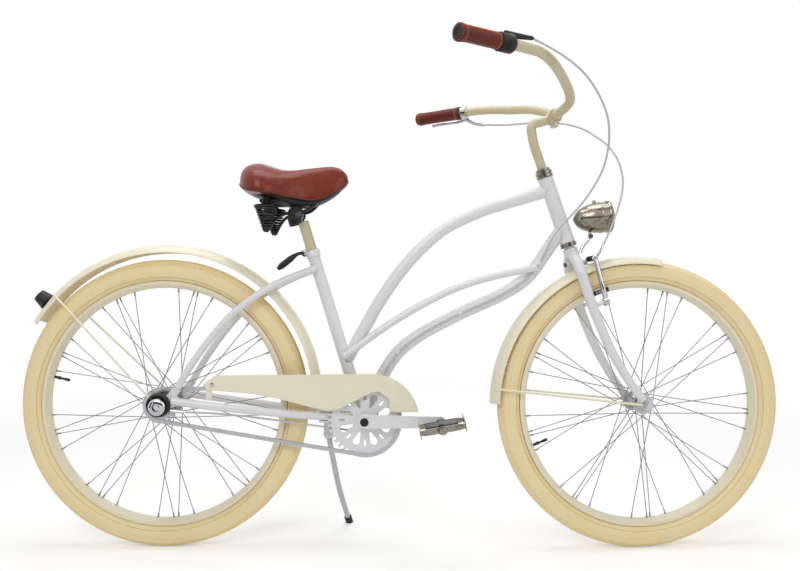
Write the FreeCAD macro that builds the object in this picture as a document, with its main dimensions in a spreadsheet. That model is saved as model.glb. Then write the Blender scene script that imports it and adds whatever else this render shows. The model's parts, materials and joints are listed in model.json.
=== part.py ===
import FreeCAD, Part
import math
import os
import Sketcher
from FreeCAD import Placement, Rotation, Vector

# City bicycle with a low curved frame, balloon tyres, hub gear and side stand.
# Millimetres. The bicycle is modelled upright, +X forward, +Y to its left and +Z up, with the
# rear axle above the origin. At the end the whole bicycle is leant onto its side stand, so that
# both tyres and the stand's foot touch the ground at Z = 0.

os.makedirs("parts", exist_ok=True)
doc = FreeCAD.newDocument("city_bicycle")

# Driving dimensions
# name, value
SIZES = (
    ("wheel_radius", 333.5),
    ("tyre_section", 27.0),
    ("tyre_wall", 3.2),
    ("bead_half_width", 15.5),
    ("rim_half_width", 18.6),
    ("rim_depth", 16.0),
    ("rim_wall", 1.8),
    ("spoke_radius", 1.0),
    ("spokes_per_side", 18),
    ("hub_radius", 27.0),
    ("hub_flange_radius", 33.0),
    ("hub_flange_offset", 32.0),
    ("front_hub_radius", 16.0),
    ("front_flange_radius", 23.0),
    ("front_flange_offset", 35.0),
    ("flange_thickness", 3.0),
    ("wheelbase", 1102.5),
    ("head_angle", 71.0),
    ("fork_rake", 34.2),
    ("seat_angle", 72.9),
    ("bracket_x", 466.0),
    ("bracket_height", 300.0),
    ("seat_tube_setback", 6.0),
    ("seat_tube_top", 688.0),
    ("top_tube_foot", 430.0),
    ("top_tube_head", 829.0),
    ("down_tube_head", 742.0),
    ("head_tube_bottom", 707.0),
    ("head_tube_top", 858.0),
    ("crown_height", 678.0),
    ("head_tube_radius", 17.5),
    ("head_tube_wall", 1.8),
    ("seat_tube_radius", 14.3),
    ("seat_tube_wall", 1.4),
    ("top_tube_radius", 14.6),
    ("down_tube_radius", 15.4),
    ("side_tube_radius", 8.0),
    ("seat_stay_radius", 8.0),
    ("chain_stay_radius", 9.0),
    ("bracket_radius", 20.5),
    ("bracket_half_width", 34.0),
    ("bracket_wall", 3.0),
    ("rear_spacing", 65.0),
    ("front_spacing", 54.0),
    ("dropout_thickness", 5.0),
    ("axle_radius", 5.0),
    ("weld_gap", 0.2),
    ("seat_post_radius", 12.7),
    ("seat_post_top", 756.0),
    ("steerer_radius", 12.7),
    ("quill_radius", 11.1),
    ("bar_radius", 11.1),
    ("grip_radius", 16.0),
    ("crank_length", 171.0),
    ("crank_half_tread", 68.0),
    ("crank_thickness", 12.0),
    ("chain_line", 46.0),
    ("chain_pitch", 12.7),
    ("chainring_teeth", 40),
    ("sprocket_teeth", 18),
    ("chain_height", 8.4),
    ("chain_inner_gap", 4.0),
    ("chain_plate", 1.4),
    ("guard_plane", 59.0),
    ("guard_thickness", 1.6),
    ("pedal_length", 98.0),
    ("pedal_width", 84.0),
    ("pedal_thickness", 26.0),
    ("mudguard_radius", 361.0),
    ("front_mudguard_radius", 346.0),
    ("mudguard_half_width", 31.5),
    ("mudguard_depth", 19.0),
    ("mudguard_sheet", 1.6),
    ("stand_pivot_x", 377.0),
    ("stand_pivot_y", 22.0),
    ("stand_pivot_height", 258.0),
    ("stand_foot_x", 419.0),
    ("stand_foot_y", 152.0),
    ("stand_radius", 6.5),
    ("lean_angle", 4.3),
    ("steer_angle", 5.0),
)

sheet = doc.addObject("Spreadsheet::Sheet", "sizes")
for row, (name, amount) in enumerate(SIZES, 1):
    sheet.set("A%d" % row, name)
    sheet.set("B%d" % row, str(amount))
    sheet.setAlias("B%d" % row, name)
doc.recompute()


class Size:
    """A size with its value now and the formula that ties it to the sheet."""

    def __init__(self, value, formula):
        self.value = float(value)
        self.formula = formula

    def __float__(self):
        return self.value

    def __add__(self, other):
        other = as_size(other)
        return Size(self.value + other.value, "(%s + %s)" % (self.formula, other.formula))

    def __radd__(self, other):
        return as_size(other) + self

    def __sub__(self, other):
        other = as_size(other)
        return Size(self.value - other.value, "(%s - %s)" % (self.formula, other.formula))

    def __rsub__(self, other):
        return as_size(other) - self

    def __mul__(self, other):
        other = as_size(other)
        return Size(self.value * other.value, "(%s * %s)" % (self.formula, other.formula))

    def __rmul__(self, other):
        return as_size(other) * self

    def __truediv__(self, other):
        other = as_size(other)
        return Size(self.value / other.value, "(%s / %s)" % (self.formula, other.formula))

    def __rtruediv__(self, other):
        return as_size(other) / self

    def __neg__(self):
        return Size(-self.value, "(-1 * %s)" % self.formula)


def as_size(amount):
    return amount if isinstance(amount, Size) else Size(amount, "%.9g" % amount)


def size(name):
    return Size(sheet.get(name), "sizes." + name)


def turn(function, angle):
    """Sine, cosine or tangent of a Size in degrees."""
    value = getattr(math, function)(math.radians(angle.value))
    return Size(value, "%s(%s * 1 deg)" % (function, angle.formula))


# Landmarks of the upright bicycle
wheel_radius = size("wheel_radius")
wheelbase = size("wheelbase")
bracket_x = size("bracket_x")
bracket_height = size("bracket_height")
head_angle = size("head_angle")
seat_angle = size("seat_angle")


def steering_x(height):
    """Where the steering axis lies, at a height above the ground."""
    at_axle = wheelbase - size("fork_rake") / turn("sin", head_angle)
    return at_axle - (height - wheel_radius) / turn("tan", head_angle)


def seat_tube_x(height):
    """Where the seat tube's axis lies, at a height above the ground."""
    return (bracket_x - size("seat_tube_setback")
            - (height - bracket_height) / turn("tan", seat_angle))


def point(x, y, z):
    return Vector(float(x), float(y), float(z))


REAR_AXLE = point(0, 0, wheel_radius)
FRONT_AXLE = point(wheelbase, 0, wheel_radius)
BRACKET = point(bracket_x, 0, bracket_height)
HEAD_RADIANS = math.radians(float(head_angle))
STEER_UP = Vector(-math.cos(HEAD_RADIANS), 0, math.sin(HEAD_RADIANS))
STEER_AHEAD = Vector(math.sin(HEAD_RADIANS), 0, math.cos(HEAD_RADIANS))
SEAT_RADIANS = math.radians(float(seat_angle))
SEAT_UP = Vector(-math.cos(SEAT_RADIANS), 0, math.sin(SEAT_RADIANS))
UP = Vector(0, 0, 1)
LEFT = Vector(0, 1, 0)
AHEAD = Vector(1, 0, 0)


def steering_point(height, ahead=0.0, side=0.0):
    """A point beside the steering axis: at a height, then square to the axis."""
    return point(steering_x(height), side, height) + STEER_AHEAD * float(ahead)


# Document helpers
NODES = {}
GROUPS = {}


def keep(label, made, group="frame"):
    """Names a finished sub-part and the group that it is placed with."""
    made.Label = label
    NODES[label] = made
    GROUPS[label] = group
    return made


def bind(made, **sizes):
    for name, amount in sizes.items():
        amount = as_size(amount)
        made.setExpression(name, amount.formula)
    return made


def along(start, direction):
    """A placement whose Z runs along a direction."""
    return Placement(start, Rotation(UP, direction))


def cylinder(name, radius, length, start, direction=UP):
    made = doc.addObject("Part::Cylinder", name)
    bind(made, Radius=radius, Height=length)
    made.Placement = along(start, direction)
    return made


def cone(name, radius_start, radius_end, length, start, direction=UP):
    made = doc.addObject("Part::Cone", name)
    bind(made, Radius1=radius_start, Radius2=radius_end, Height=length)
    made.Placement = along(start, direction)
    return made


def box(name, length, width, height, centre, direction=UP):
    """A box about its centre, with its height along a direction."""
    made = doc.addObject("Part::Box", name)
    bind(made, Length=length, Width=width, Height=height)
    shift = Vector(-float(length) / 2, -float(width) / 2, -float(height) / 2)
    made.Placement = along(centre, direction) * Placement(shift, Rotation())
    return made


def cut(name, base, *tools):
    tool = tools[0] if len(tools) == 1 else fuse(name + "_tools", *tools)
    made = doc.addObject("Part::Cut", name)
    made.Base = base
    made.Tool = tool
    return made


def fuse(name, *shapes):
    made = doc.addObject("Part::MultiFuse", name)
    made.Shapes = list(shapes)
    return made


def group_of(name, *shapes):
    made = doc.addObject("Part::Compound", name)
    made.Links = list(shapes)
    return made


def solid_feature(name, shape):
    made = doc.addObject("Part::Feature", name)
    made.Shape = shape
    return made


def rounded_path(points):
    """Straight runs joined by tangent arcs, each as large as its two runs allow."""
    edges = []
    last = points[0]
    for before, corner, after in zip(points, points[1:], points[2:]):
        back = (before - corner)
        ahead = (after - corner)
        run = min(back.Length, ahead.Length)
        half_turn = (math.pi - back.getAngle(ahead)) / 2
        trim = 0.45 * run
        radius = trim / math.tan(half_turn)
        back.normalize()
        ahead.normalize()
        start = corner + back * trim
        end = corner + ahead * trim
        middle = back + ahead
        middle.normalize()
        inner = corner + middle * (math.hypot(radius, trim) - radius)
        edges.append(Part.LineSegment(last, start).toShape())
        edges.append(Part.Arc(start, inner, end).toShape())
        last = end
    edges.append(Part.LineSegment(last, points[-1]).toShape())
    return Part.Wire(edges)


def tube(name, points, radius, end_radius=None):
    """A round tube swept along straight runs and tangent arcs."""
    spine = solid_feature(name + "_path", rounded_path(points))
    sections = []
    ends = [(points[0], points[1] - points[0], radius)]
    if end_radius is not None:
        ends.append((points[-1], points[-1] - points[-2], end_radius))
    for where, direction, section_radius in ends:
        ring = doc.addObject("Part::Circle", name + "_section")
        bind(ring, Radius=section_radius)
        ring.Placement = along(where, direction)
        sections.append(ring)
    made = doc.addObject("Part::Sweep", name)
    made.Sections = sections
    made.Spine = (spine, ["Edge%d" % (k + 1) for k in range(len(spine.Shape.Edges))])
    made.Solid = True
    made.Frenet = False
    return made


def bowed(start, end, bows, side=0.0):
    """Points between two ends. bows: (share of the way, bow in mm, side in mm)."""
    chord = end - start
    square = LEFT.cross(chord) * -1.0
    square.normalize()
    middle = [start + chord * share + square * bow + LEFT * (side + out)
              for share, bow, out in bows]
    return [start + LEFT * side] + middle + [end + LEFT * side]


def mirrored(points):
    return [Vector(p.x, -p.y, p.z) for p in points]


def sketch_on(body, plane, name, outline):
    """A closed sketch bound to the sheet.

    outline: (across, up) for a corner, and a third value bows the edge that leaves it to
    that radius: above zero it bulges to the right of the way round, below zero to the left.
    """
    made = body.newObject("Sketcher::SketchObject", name)
    faces = {f.Role: f for f in body.Origin.OriginFeatures}
    made.AttachmentSupport = [(faces[plane], "")]
    made.MapMode = "FlatFace"
    count = len(outline)
    corners = [Vector(float(c[0]), float(c[1]), 0) for c in outline]
    rules = []
    for k, corner in enumerate(outline):
        start, end = corners[k], corners[(k + 1) % count]
        chord = end - start
        if len(corner) > 2:
            radius = float(corner[2])
            half = chord.Length / 2
            drop = math.sqrt(max(radius * radius - half * half, 0.0))
            right = Vector(chord.y, -chord.x, 0).normalize()
            way = 1.0 if radius > 0 else -1.0
            centre = (start + end) / 2 - right * (way * drop)
            ends = (start, end) if way > 0 else (end, start)
            bends = [math.atan2(p.y - centre.y, p.x - centre.x) for p in ends]
            if bends[1] < bends[0]:
                bends[1] += 2 * math.pi
            circle = Part.Circle(centre, UP, abs(radius))
            made.addGeometry(Part.ArcOfCircle(circle, bends[0], bends[1]), False)
            first = 1 if way > 0 else 2
            rules.append((k, first, as_size(corner[2]) * way))
        else:
            made.addGeometry(Part.LineSegment(start, end), False)
            rules.append((k, 1, None))
    starts = [r[1] for r in rules]
    for k in range(count):
        after = (k + 1) % count
        made.addConstraint(Sketcher.Constraint(
            "Coincident", k, 3 - starts[k], after, starts[after]))
    for k, corner in enumerate(outline):
        for kind, amount in (("DistanceX", corner[0]), ("DistanceY", corner[1])):
            amount = as_size(amount)
            index = made.addConstraint(Sketcher.Constraint(
                kind, -1, 1, k, starts[k], amount.value))
            made.setExpression("Constraints[%d]" % index, amount.formula)
    for k, start, radius in rules:
        if radius is not None:
            index = made.addConstraint(Sketcher.Constraint("Radius", k, radius.value))
            made.setExpression("Constraints[%d]" % index, radius.formula)
    return made


def turned(name, outline, centre, axis=LEFT, angle=360.0, start_angle=0.0):
    """A body turned about an axis. outline: (radius, way along the axis[, bow])."""
    body = doc.addObject("PartDesign::Body", name)
    sketch = sketch_on(body, "XY_Plane", name + "_outline", outline)
    made = body.newObject("PartDesign::Revolution", name + "_turn")
    made.Profile = sketch
    made.ReferenceAxis = (sketch, ["V_Axis"])
    made.Angle = angle
    sketch.Visibility = False
    body.Tip = made
    body.Placement = (Placement(centre, Rotation(LEFT, axis))
                      * Placement(Vector(), Rotation(LEFT, start_angle)))
    return body


def plate(name, outline, thickness, placement):
    """A body padded from an outline in its own XY plane."""
    body = doc.addObject("PartDesign::Body", name)
    sketch = sketch_on(body, "XY_Plane", name + "_outline", outline)
    made = body.newObject("PartDesign::Pad", name + "_pad")
    made.Profile = sketch
    bind(made, Length=thickness)
    body.Tip = made
    body.Placement = placement
    return body


def side_plane(x, y, z):
    """A plane seen from the right: its X runs forward, its Y up and its Z to the right."""
    return Placement(point(x, y, z), Rotation(AHEAD, UP, Vector(0, -1, 0), "XYZ"))


# Wheels

def tyre(name, centre, group):
    middle = wheel_radius - size("tyre_section")
    section = size("tyre_section")
    wall = size("tyre_wall")
    bead = size("bead_half_width")
    drop = Size(math.sqrt(section.value ** 2 - bead.value ** 2),
                "sqrt(sizes.tyre_section^2 - sizes.bead_half_width^2)")
    inner_bead = bead - wall
    inner_drop = Size(math.sqrt((section.value - wall.value) ** 2 - inner_bead.value ** 2),
                      "sqrt((sizes.tyre_section - sizes.tyre_wall)^2"
                      " - (sizes.bead_half_width - sizes.tyre_wall)^2)")
    outline = (
        (middle - drop, -bead, section),
        (wheel_radius, 0.0, section),
        (middle - drop, bead),
        (middle - inner_drop, inner_bead, wall - section),
        (wheel_radius - wall, 0.0, wall - section),
        (middle - inner_drop, -inner_bead),
    )
    return keep(name, turned(name, outline, centre), group)


def rim(name, centre, group):
    middle = wheel_radius - size("tyre_section")
    section = size("tyre_section")
    bead = size("bead_half_width")
    drop = Size(math.sqrt(section.value ** 2 - bead.value ** 2),
                "sqrt(sizes.tyre_section^2 - sizes.bead_half_width^2)")
    top = middle - drop - 0.5
    floor = top - size("rim_depth")
    wide = size("rim_half_width")
    wall = size("rim_wall")
    outline = (
        (top, -bead - wall),
        (top - 2.0, -wide),
        (top - 8.0, -wide),
        (floor, -5.0),
        (floor, 5.0),
        (top - 8.0, wide),
        (top - 2.0, wide),
        (top, bead + wall),
        (top, bead),
        (top - 8.0, bead),
        (floor + wall, 5.0),
        (floor + wall, -5.0),
        (top - 8.0, -bead),
        (top, -bead),
    )
    return keep(name, turned(name, outline, centre), group), floor


def spokes(name, centre, flange_radius, flange_offset, rim_floor, group):
    """Three-cross spokes: they leave each flange's edge by turns forwards and backwards."""
    per_side = int(float(size("spokes_per_side")))
    pair = 360.0 / per_side
    crossing = 3 * pair
    spoke_radius = float(size("spoke_radius"))
    beside = spoke_radius + 0.3
    hook_ring = float(flange_radius) + spoke_radius + 0.2
    rim_ring = float(rim_floor) - 0.7
    solids = []
    for side in (-1, 1):
        turned_by = 0.0 if side < 0 else pair / 2
        for k in range(per_side):
            way = 1 if k % 2 else -1
            hole_angle = math.radians(turned_by + pair * k)
            rim_angle = hole_angle + math.radians(way * crossing * 0.9)
            hub_side = side * (float(flange_offset) + way * beside)
            rim_side = side * (1.7 + way * 0.9)
            start = Vector(hook_ring * math.cos(hole_angle), hub_side,
                           hook_ring * math.sin(hole_angle))
            end = Vector(rim_ring * math.cos(rim_angle), rim_side,
                         rim_ring * math.sin(rim_angle))
            run = end - start
            solids.append(Part.makeCylinder(spoke_radius, run.Length, centre + start, run))
    return keep(name, solid_feature(name, Part.makeCompound(solids)), group)


def hub(name, centre, barrel, flange, offset, end_half_width, group):
    """A hub shell with two spoke flanges, bored for its axle."""
    half = size("flange_thickness") / 2
    bore = size("axle_radius") + 0.3
    outline = (
        (bore, -end_half_width),
        (barrel * 0.62, -end_half_width),
        (barrel * 0.72, -offset - 6.0),
        (barrel, -offset - half),
        (flange, -offset - half),
        (flange, -offset + half),
        (barrel, -offset + half),
        (barrel * 0.92, 0.0),
        (barrel, offset - half),
        (flange, offset - half),
        (flange, offset + half),
        (barrel, offset + half),
        (barrel * 0.72, offset + 6.0),
        (barrel * 0.62, end_half_width),
        (bore, end_half_width),
    )
    return keep(name, turned(name, outline, centre), group)


def wheel(prefix, centre, barrel, flange, offset, end_half_width, group):
    tyre(prefix + "_tyre", centre, group)
    floor = rim(prefix + "_rim", centre, group)[1]
    spokes(prefix + "_spokes", centre, flange, offset, floor, group)
    hub(prefix + "_hub", centre, barrel, flange, offset, end_half_width, group)


# Rear hub: its right end is narrow, because the sprocket sits there.
wheel("rear", REAR_AXLE, size("hub_radius"), size("hub_flange_radius"),
      size("hub_flange_offset"), as_size(41.0), "rear_wheel")
wheel("front", FRONT_AXLE, size("front_hub_radius"), size("front_flange_radius"),
      size("front_flange_offset"), as_size(46.0), "front_wheel")


nut_depth = as_size(8.0)
washer_depth = 1.9
thread_end = as_size(6.0)


def axle(name, centre, half_spacing):
    """An axle with its cones inside the dropouts and its nuts outside them."""
    reach = half_spacing + size("dropout_thickness") + nut_depth + thread_end
    rod = cylinder(name + "_rod", size("axle_radius"), reach * 2.0,
                   centre - LEFT * float(reach), LEFT)
    pieces = [rod]
    for side, word in ((-1, "right"), (1, "left")):
        outwards = LEFT * side
        inner = cylinder(name + "_cone_" + word, size("axle_radius") + 5.0, 7.0,
                         centre + outwards * (float(half_spacing) - 7.3), outwards)
        outside = float(half_spacing + size("dropout_thickness")) + 0.3
        washer = cylinder(name + "_washer_" + word, size("axle_radius") + 6.0, 1.6,
                          centre + outwards * outside, outwards)
        nut = doc.addObject("Part::Prism", name + "_nut_" + word)
        nut.Polygon = 6
        bind(nut, Circumradius=size("axle_radius") + 3.7, Height=nut_depth)
        nut.Placement = along(centre + outwards * (outside + 1.6), outwards)
        pieces += [inner, washer, nut]
    return fuse(name, *pieces)


keep("front_axle", axle("front_axle", FRONT_AXLE, size("front_spacing")), "steering")
keep("rear_axle", axle("rear_axle", REAR_AXLE, size("rear_spacing")))

# Frame tubes
weld = size("weld_gap")
head_bottom = steering_point(size("head_tube_bottom"))
head_top = steering_point(size("head_tube_top"))
head_length = Size((head_top - head_bottom).Length,
                   "((sizes.head_tube_top - sizes.head_tube_bottom)"
                   " / sin(sizes.head_angle * 1 deg))")
head_outer = cylinder("head_tube_outer", size("head_tube_radius"), head_length,
                      head_bottom, STEER_UP)
head_bore = cylinder("head_tube_bore", size("head_tube_radius") - size("head_tube_wall"),
                     head_length + 10.0, head_bottom - STEER_UP * 5, STEER_UP)
keep("head_tube", cut("head_tube", head_outer, head_bore))


def cutter(name, radius, start, direction, length=400.0):
    """A cylinder that trims a tube back to another tube's wall."""
    return cylinder(name, radius + weld, length, start - direction * (length / 2), direction)


bracket_outer = cylinder("bracket_outer", size("bracket_radius"),
                         size("bracket_half_width") * 2.0,
                         BRACKET - LEFT * float(size("bracket_half_width")), LEFT)
bracket_bore = cylinder("bracket_bore", size("bracket_radius") - size("bracket_wall"),
                        size("bracket_half_width") * 2.0 + 4.0,
                        BRACKET - LEFT * (float(size("bracket_half_width")) + 2), LEFT)
keep("bracket_shell", cut("bracket_shell", bracket_outer, bracket_bore))

seat_foot = point(seat_tube_x(bracket_height), 0, bracket_height)
seat_top = point(seat_tube_x(size("seat_tube_top")), 0, size("seat_tube_top"))
seat_length = Size((seat_top - seat_foot).Length,
                   "((sizes.seat_tube_top - sizes.bracket_height)"
                   " / sin(sizes.seat_angle * 1 deg))")
seat_outer = cylinder("seat_tube_outer", size("seat_tube_radius"), seat_length, seat_foot, SEAT_UP)
seat_bore = cylinder("seat_tube_bore", size("seat_tube_radius") - size("seat_tube_wall"),
                     seat_length + 10.0, seat_foot + SEAT_UP * 40, SEAT_UP)
keep("seat_tube", cut("seat_tube", seat_outer, seat_bore,
                      cutter("seat_tube_trim", size("bracket_radius"), BRACKET, LEFT)))

# share of the way, bow, side
TOP_TUBE_BOWS = ((0.239, 56.9, 0), (0.373, 79.8, 0), (0.484, 90.5, 0), (0.607, 91.5, 0),
                 (0.757, 67.0, 0))
DOWN_TUBE_BOWS = ((0.219, 29.6, 0), (0.324, 16.1, 0), (0.488, -22.4, 0), (0.647, -51.5, 0),
                  (0.75, -59.0, 0), (0.86, -42.5, 0))
SIDE_TUBE_BOWS = ((0.22, 21.7, 0), (0.408, 33.1, 0), (0.609, 36.4, 0), (0.781, 25.6, 0))
SEAT_STAY_BOWS = ((0.122, 17.5, -1.0), (0.284, 34.0, -6.5), (0.476, 46.3, -12.0),
                  (0.662, 42.1, -21.0), (0.819, 27.7, -31.0))
CHAIN_STAY_BOWS = ((0.231, -2.9, -3.0), (0.423, -3.9, -9.0), (0.617, -4.9, -19.0),
                   (0.759, -4.6, -31.0))

top_start = point(seat_tube_x(size("top_tube_foot")), 0, size("top_tube_foot"))
top_end = steering_point(size("top_tube_head"))
top_path = bowed(top_start, top_end, TOP_TUBE_BOWS)
keep("top_tube", cut("top_tube", tube("top_tube_sweep", top_path, size("top_tube_radius")),
                     cutter("top_trim_head", size("head_tube_radius"), top_end, STEER_UP),
                     cutter("top_trim_seat", size("seat_tube_radius"), top_start, SEAT_UP)))

down_start = steering_point(size("down_tube_head"))
down_path = bowed(down_start, BRACKET, DOWN_TUBE_BOWS)
keep("down_tube", cut("down_tube", tube("down_tube_sweep", down_path, size("down_tube_radius")),
                      cutter("down_trim_head", size("head_tube_radius"), down_start, STEER_UP),
                      cutter("down_trim_bracket", size("bracket_radius"), BRACKET, LEFT),
                      cutter("down_trim_seat", size("seat_tube_radius"), seat_foot, SEAT_UP)))

side_spread = size("down_tube_radius") + size("side_tube_radius") + weld
side_start = point(seat_tube_x(size("top_tube_foot") + 12.0), 0, size("top_tube_foot") + 12.0)
side_end = down_start + (down_path[1] - down_start) * 0.79 + STEER_UP * 0.0
side_solids = []
for word, side in (("right", -1), ("left", 1)):
    path = bowed(side_start, side_end, SIDE_TUBE_BOWS, side * float(side_spread))
    side_solids.append(tube("side_tube_" + word, path, size("side_tube_radius")))
keep("side_tubes", group_of("side_tubes", *side_solids))

# Stays and dropouts. Each stay ends on its dropout plate, outside the chain.
stay_side = float(size("rear_spacing") + size("dropout_thickness") / 2)
seat_stay_foot = REAR_AXLE + Vector(44, 0, 42)
seat_stay_head = point(seat_tube_x(size("seat_tube_top") - 40.0), 0,
                       size("seat_tube_top") - 40.0)
seat_stays = []
chain_stays = []
for word, side in (("right", -1), ("left", 1)):
    spread = float(size("seat_tube_radius") + size("seat_stay_radius")) - 8.0
    path = bowed(seat_stay_foot, seat_stay_head, SEAT_STAY_BOWS)
    outs = [stay_side] + [stay_side + b[2] for b in SEAT_STAY_BOWS] + [spread]
    path = [Vector(p.x, side * out, p.z) for p, out in zip(path, outs)]
    seat_stays.append(tube("seat_stay_" + word, path, size("seat_stay_radius")))
    path = bowed(REAR_AXLE + Vector(30, 0, 12.5), BRACKET + Vector(-14, 0, 2), CHAIN_STAY_BOWS)
    outs = [stay_side] + [stay_side + b[2] for b in CHAIN_STAY_BOWS] + [24.0]
    path = [Vector(p.x, side * out, p.z) for p, out in zip(path, outs)]
    chain_stays.append(tube("chain_stay_" + word, path, size("chain_stay_radius")))
# The bridge carries the mudguard on a short spacer.
bridge_centre = point(260, 0, 608)
stay_bridge = cylinder("seat_stay_bridge", 6.0, 90.0, bridge_centre - LEFT * 45, LEFT)
rear_guard_centre = REAR_AXLE + Vector(4, 0, 7)
bridge_out = (bridge_centre - rear_guard_centre).normalize()
spacer_foot = rear_guard_centre + bridge_out * (float(size("mudguard_radius")) + 0.3)
bridge_spacer = cylinder("bridge_spacer", 5.0, (bridge_centre - spacer_foot).Length,
                         spacer_foot, bridge_out)
keep("seat_stays", cut("seat_stays", fuse("seat_stay_pair", stay_bridge, bridge_spacer,
                                          *seat_stays),
                       cutter("seat_stay_trim", size("seat_tube_radius"), seat_stay_head,
                              SEAT_UP, 160.0)))
chain_bridge = cylinder("chain_stay_bridge", 6.0, 60.0, point(352, -30, 306), LEFT)
keep("chain_stays", cut("chain_stays", fuse("chain_stay_pair", chain_bridge, *chain_stays),
                        cutter("chain_stay_trim", size("bracket_radius"), BRACKET, LEFT)))

# Dropout plates: forward of the axle they carry both stays.
# across from the axle, up from the axle
DROPOUT = ((-12, -11), (6, -14), (34, -1), (50, 4), (54, 14), (42, 24), (52, 40), (42, 50),
           (30, 38), (10, 14), (-12, 13))
dropouts = []
for word, side in (("right", -1), ("left", 1)):
    outer = side * float(size("rear_spacing"))
    shift = 0.0 if side < 0 else float(size("dropout_thickness"))
    blank = plate("dropout_" + word, DROPOUT, size("dropout_thickness"),
                  side_plane(0, outer + shift, wheel_radius))
    hole = cylinder("dropout_hole_" + word, size("axle_radius") + 0.3, 20.0,
                    REAR_AXLE + LEFT * (outer - 10), LEFT)
    dropouts.append(cut("dropout_cut_" + word, blank, hole))
for word, side, k in (("right", -1, 0), ("left", 1, 1)):
    dropouts[k] = cut("dropout_trim_" + word, dropouts[k], seat_stays[k], chain_stays[k])
keep("dropouts", group_of("dropouts", *dropouts))

# Chain drive
pitch = size("chain_pitch")


def pitch_radius(teeth):
    return Size(pitch.value / 2 / math.sin(math.pi / teeth.value),
                "(%s / 2 / sin(180 deg / %s))" % (pitch.formula, teeth.formula))


ring_radius = pitch_radius(size("chainring_teeth"))
sprocket_radius = pitch_radius(size("sprocket_teeth"))
chain_side = -float(size("chain_line"))


def toothed_disc(teeth, radius, thickness, bore, centre):
    """A sprocket disc: round-bottomed gaps for the rollers, with pointed teeth between."""
    roller = 4.1
    count = int(round(float(teeth)))
    disc = Part.makeCylinder(float(radius) + 4.0, thickness, centre - LEFT * (thickness / 2), LEFT)
    tools = [Part.makeCylinder(float(bore), thickness * 3, centre - LEFT * (thickness * 1.5), LEFT)]
    for k in range(count):
        angle = 2 * math.pi * (k + 0.5) / count
        seat = centre + Vector(math.cos(angle), 0, math.sin(angle)) * float(radius)
        tools.append(Part.makeCylinder(roller, thickness * 3, seat - LEFT * (thickness * 1.5), LEFT))
    return disc.cut(tools)


ring_centre = BRACKET + LEFT * chain_side
sprocket_centre = REAR_AXLE + LEFT * chain_side
tooth_thickness = 2.6
keep("rear_sprocket", solid_feature("rear_sprocket", toothed_disc(
    size("sprocket_teeth"), sprocket_radius, tooth_thickness, 19.0, sprocket_centre)),
    "sprocket")

# Chainring: a toothed rim round a web with petal windows.
ring = toothed_disc(size("chainring_teeth"), ring_radius, tooth_thickness, 15.7, ring_centre)
windows = []
for k in range(16):
    angle = math.radians(22.5 * k)
    out = Vector(math.cos(angle), 0, math.sin(angle))
    petal = k % 2 == 1
    inner, outer, width = (33.0, 52.5, 8.5) if petal else (48.0, 57.5, 2.5)
    across = LEFT.cross(out)
    ends = [ring_centre + out * inner, ring_centre + out * outer]
    narrow = width * (0.35 if petal else 1.0)
    for end, radius in zip(ends, (narrow, width)):
        windows.append(Part.makeCylinder(radius, 12, end - LEFT * 6, LEFT))
    corners = [ends[0] + across * narrow, ends[1] + across * width,
               ends[1] - across * width, ends[0] - across * narrow]
    face = Part.Face(Part.makePolygon(corners + corners[:1]))
    face.translate(LEFT * -6)
    windows.append(face.extrude(LEFT * 12))
keep("chainring", solid_feature("chainring", ring.cut(windows)), "crank")


def belt_face(ring_grow, y):
    """The loop round both sprockets, grown from the pitch line, as a face at one side."""
    big = float(ring_radius) + ring_grow
    small = float(sprocket_radius) + ring_grow
    centres = (BRACKET, REAR_AXLE)
    span = centres[0] - centres[1]
    flat = math.atan2(span.z, span.x)
    open_angle = math.acos((big - small) / span.Length)
    def at(centre, radius, angle):
        return Vector(centre.x + radius * math.cos(angle), y, centre.z + radius * math.sin(angle))
    top, low = flat + open_angle, flat - open_angle
    edges = [
        Part.LineSegment(at(centres[1], small, top), at(centres[0], big, top)).toShape(),
        Part.Arc(at(centres[0], big, top), at(centres[0], big, flat),
                 at(centres[0], big, low)).toShape(),
        Part.LineSegment(at(centres[0], big, low), at(centres[1], small, low)).toShape(),
        Part.Arc(at(centres[1], small, low), at(centres[1], small, flat + math.pi),
                 at(centres[1], small, top)).toShape(),
    ]
    return Part.Face(Part.Wire(edges)), top, low


half_chain = float(size("chain_height")) / 2
plate_thickness = float(size("chain_plate"))
gap = float(size("chain_inner_gap"))
chain_plates = []
for y in (chain_side - gap / 2 - plate_thickness, chain_side + gap / 2):
    outer_face, top_angle, low_angle = belt_face(half_chain, y)
    inner_face = belt_face(-half_chain, y)[0]
    chain_plates.append(outer_face.cut(inner_face).Faces[0].extrude(LEFT * plate_thickness))
rollers = []
for angle in (top_angle, low_angle):
    out = Vector(math.cos(angle), 0, math.sin(angle))
    start = REAR_AXLE + out * float(sprocket_radius)
    run = (BRACKET + out * float(ring_radius)) - start
    # The rollers start past the teeth, two pitches from the sprocket and three from the ring.
    first = 2.2 * float(pitch)
    count = int((run.Length - first) / float(pitch) - 3.6)
    run.normalize()
    for k in range(count):
        centre = start + run * (first + k * float(pitch)) + LEFT * chain_side
        rollers.append(Part.makeCylinder(3.9, gap + plate_thickness, centre
                                         - LEFT * (gap + plate_thickness) / 2, LEFT))
chain = chain_plates[0].fuse([chain_plates[1]] + rollers)
keep("chain", solid_feature("chain", chain))

# Chain guard: a pressed plate with its rim turned in over the chain.
guard_y = -float(size("guard_plane"))
# across, up, bow of the edge that leaves the corner
GUARD = ((99, 382), (127, 403), (481, 406.5, -107.5), (588, 320), (522, 320), (522, 348),
         (500, 366), (481, 364), (446, 346), (405, 326), (384, 322), (340, 332), (275, 349),
         (209, 362), (110, 370))
keep("chain_guard", plate("chain_guard", GUARD, size("guard_thickness"),
                          side_plane(0, guard_y, 0)))

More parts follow.
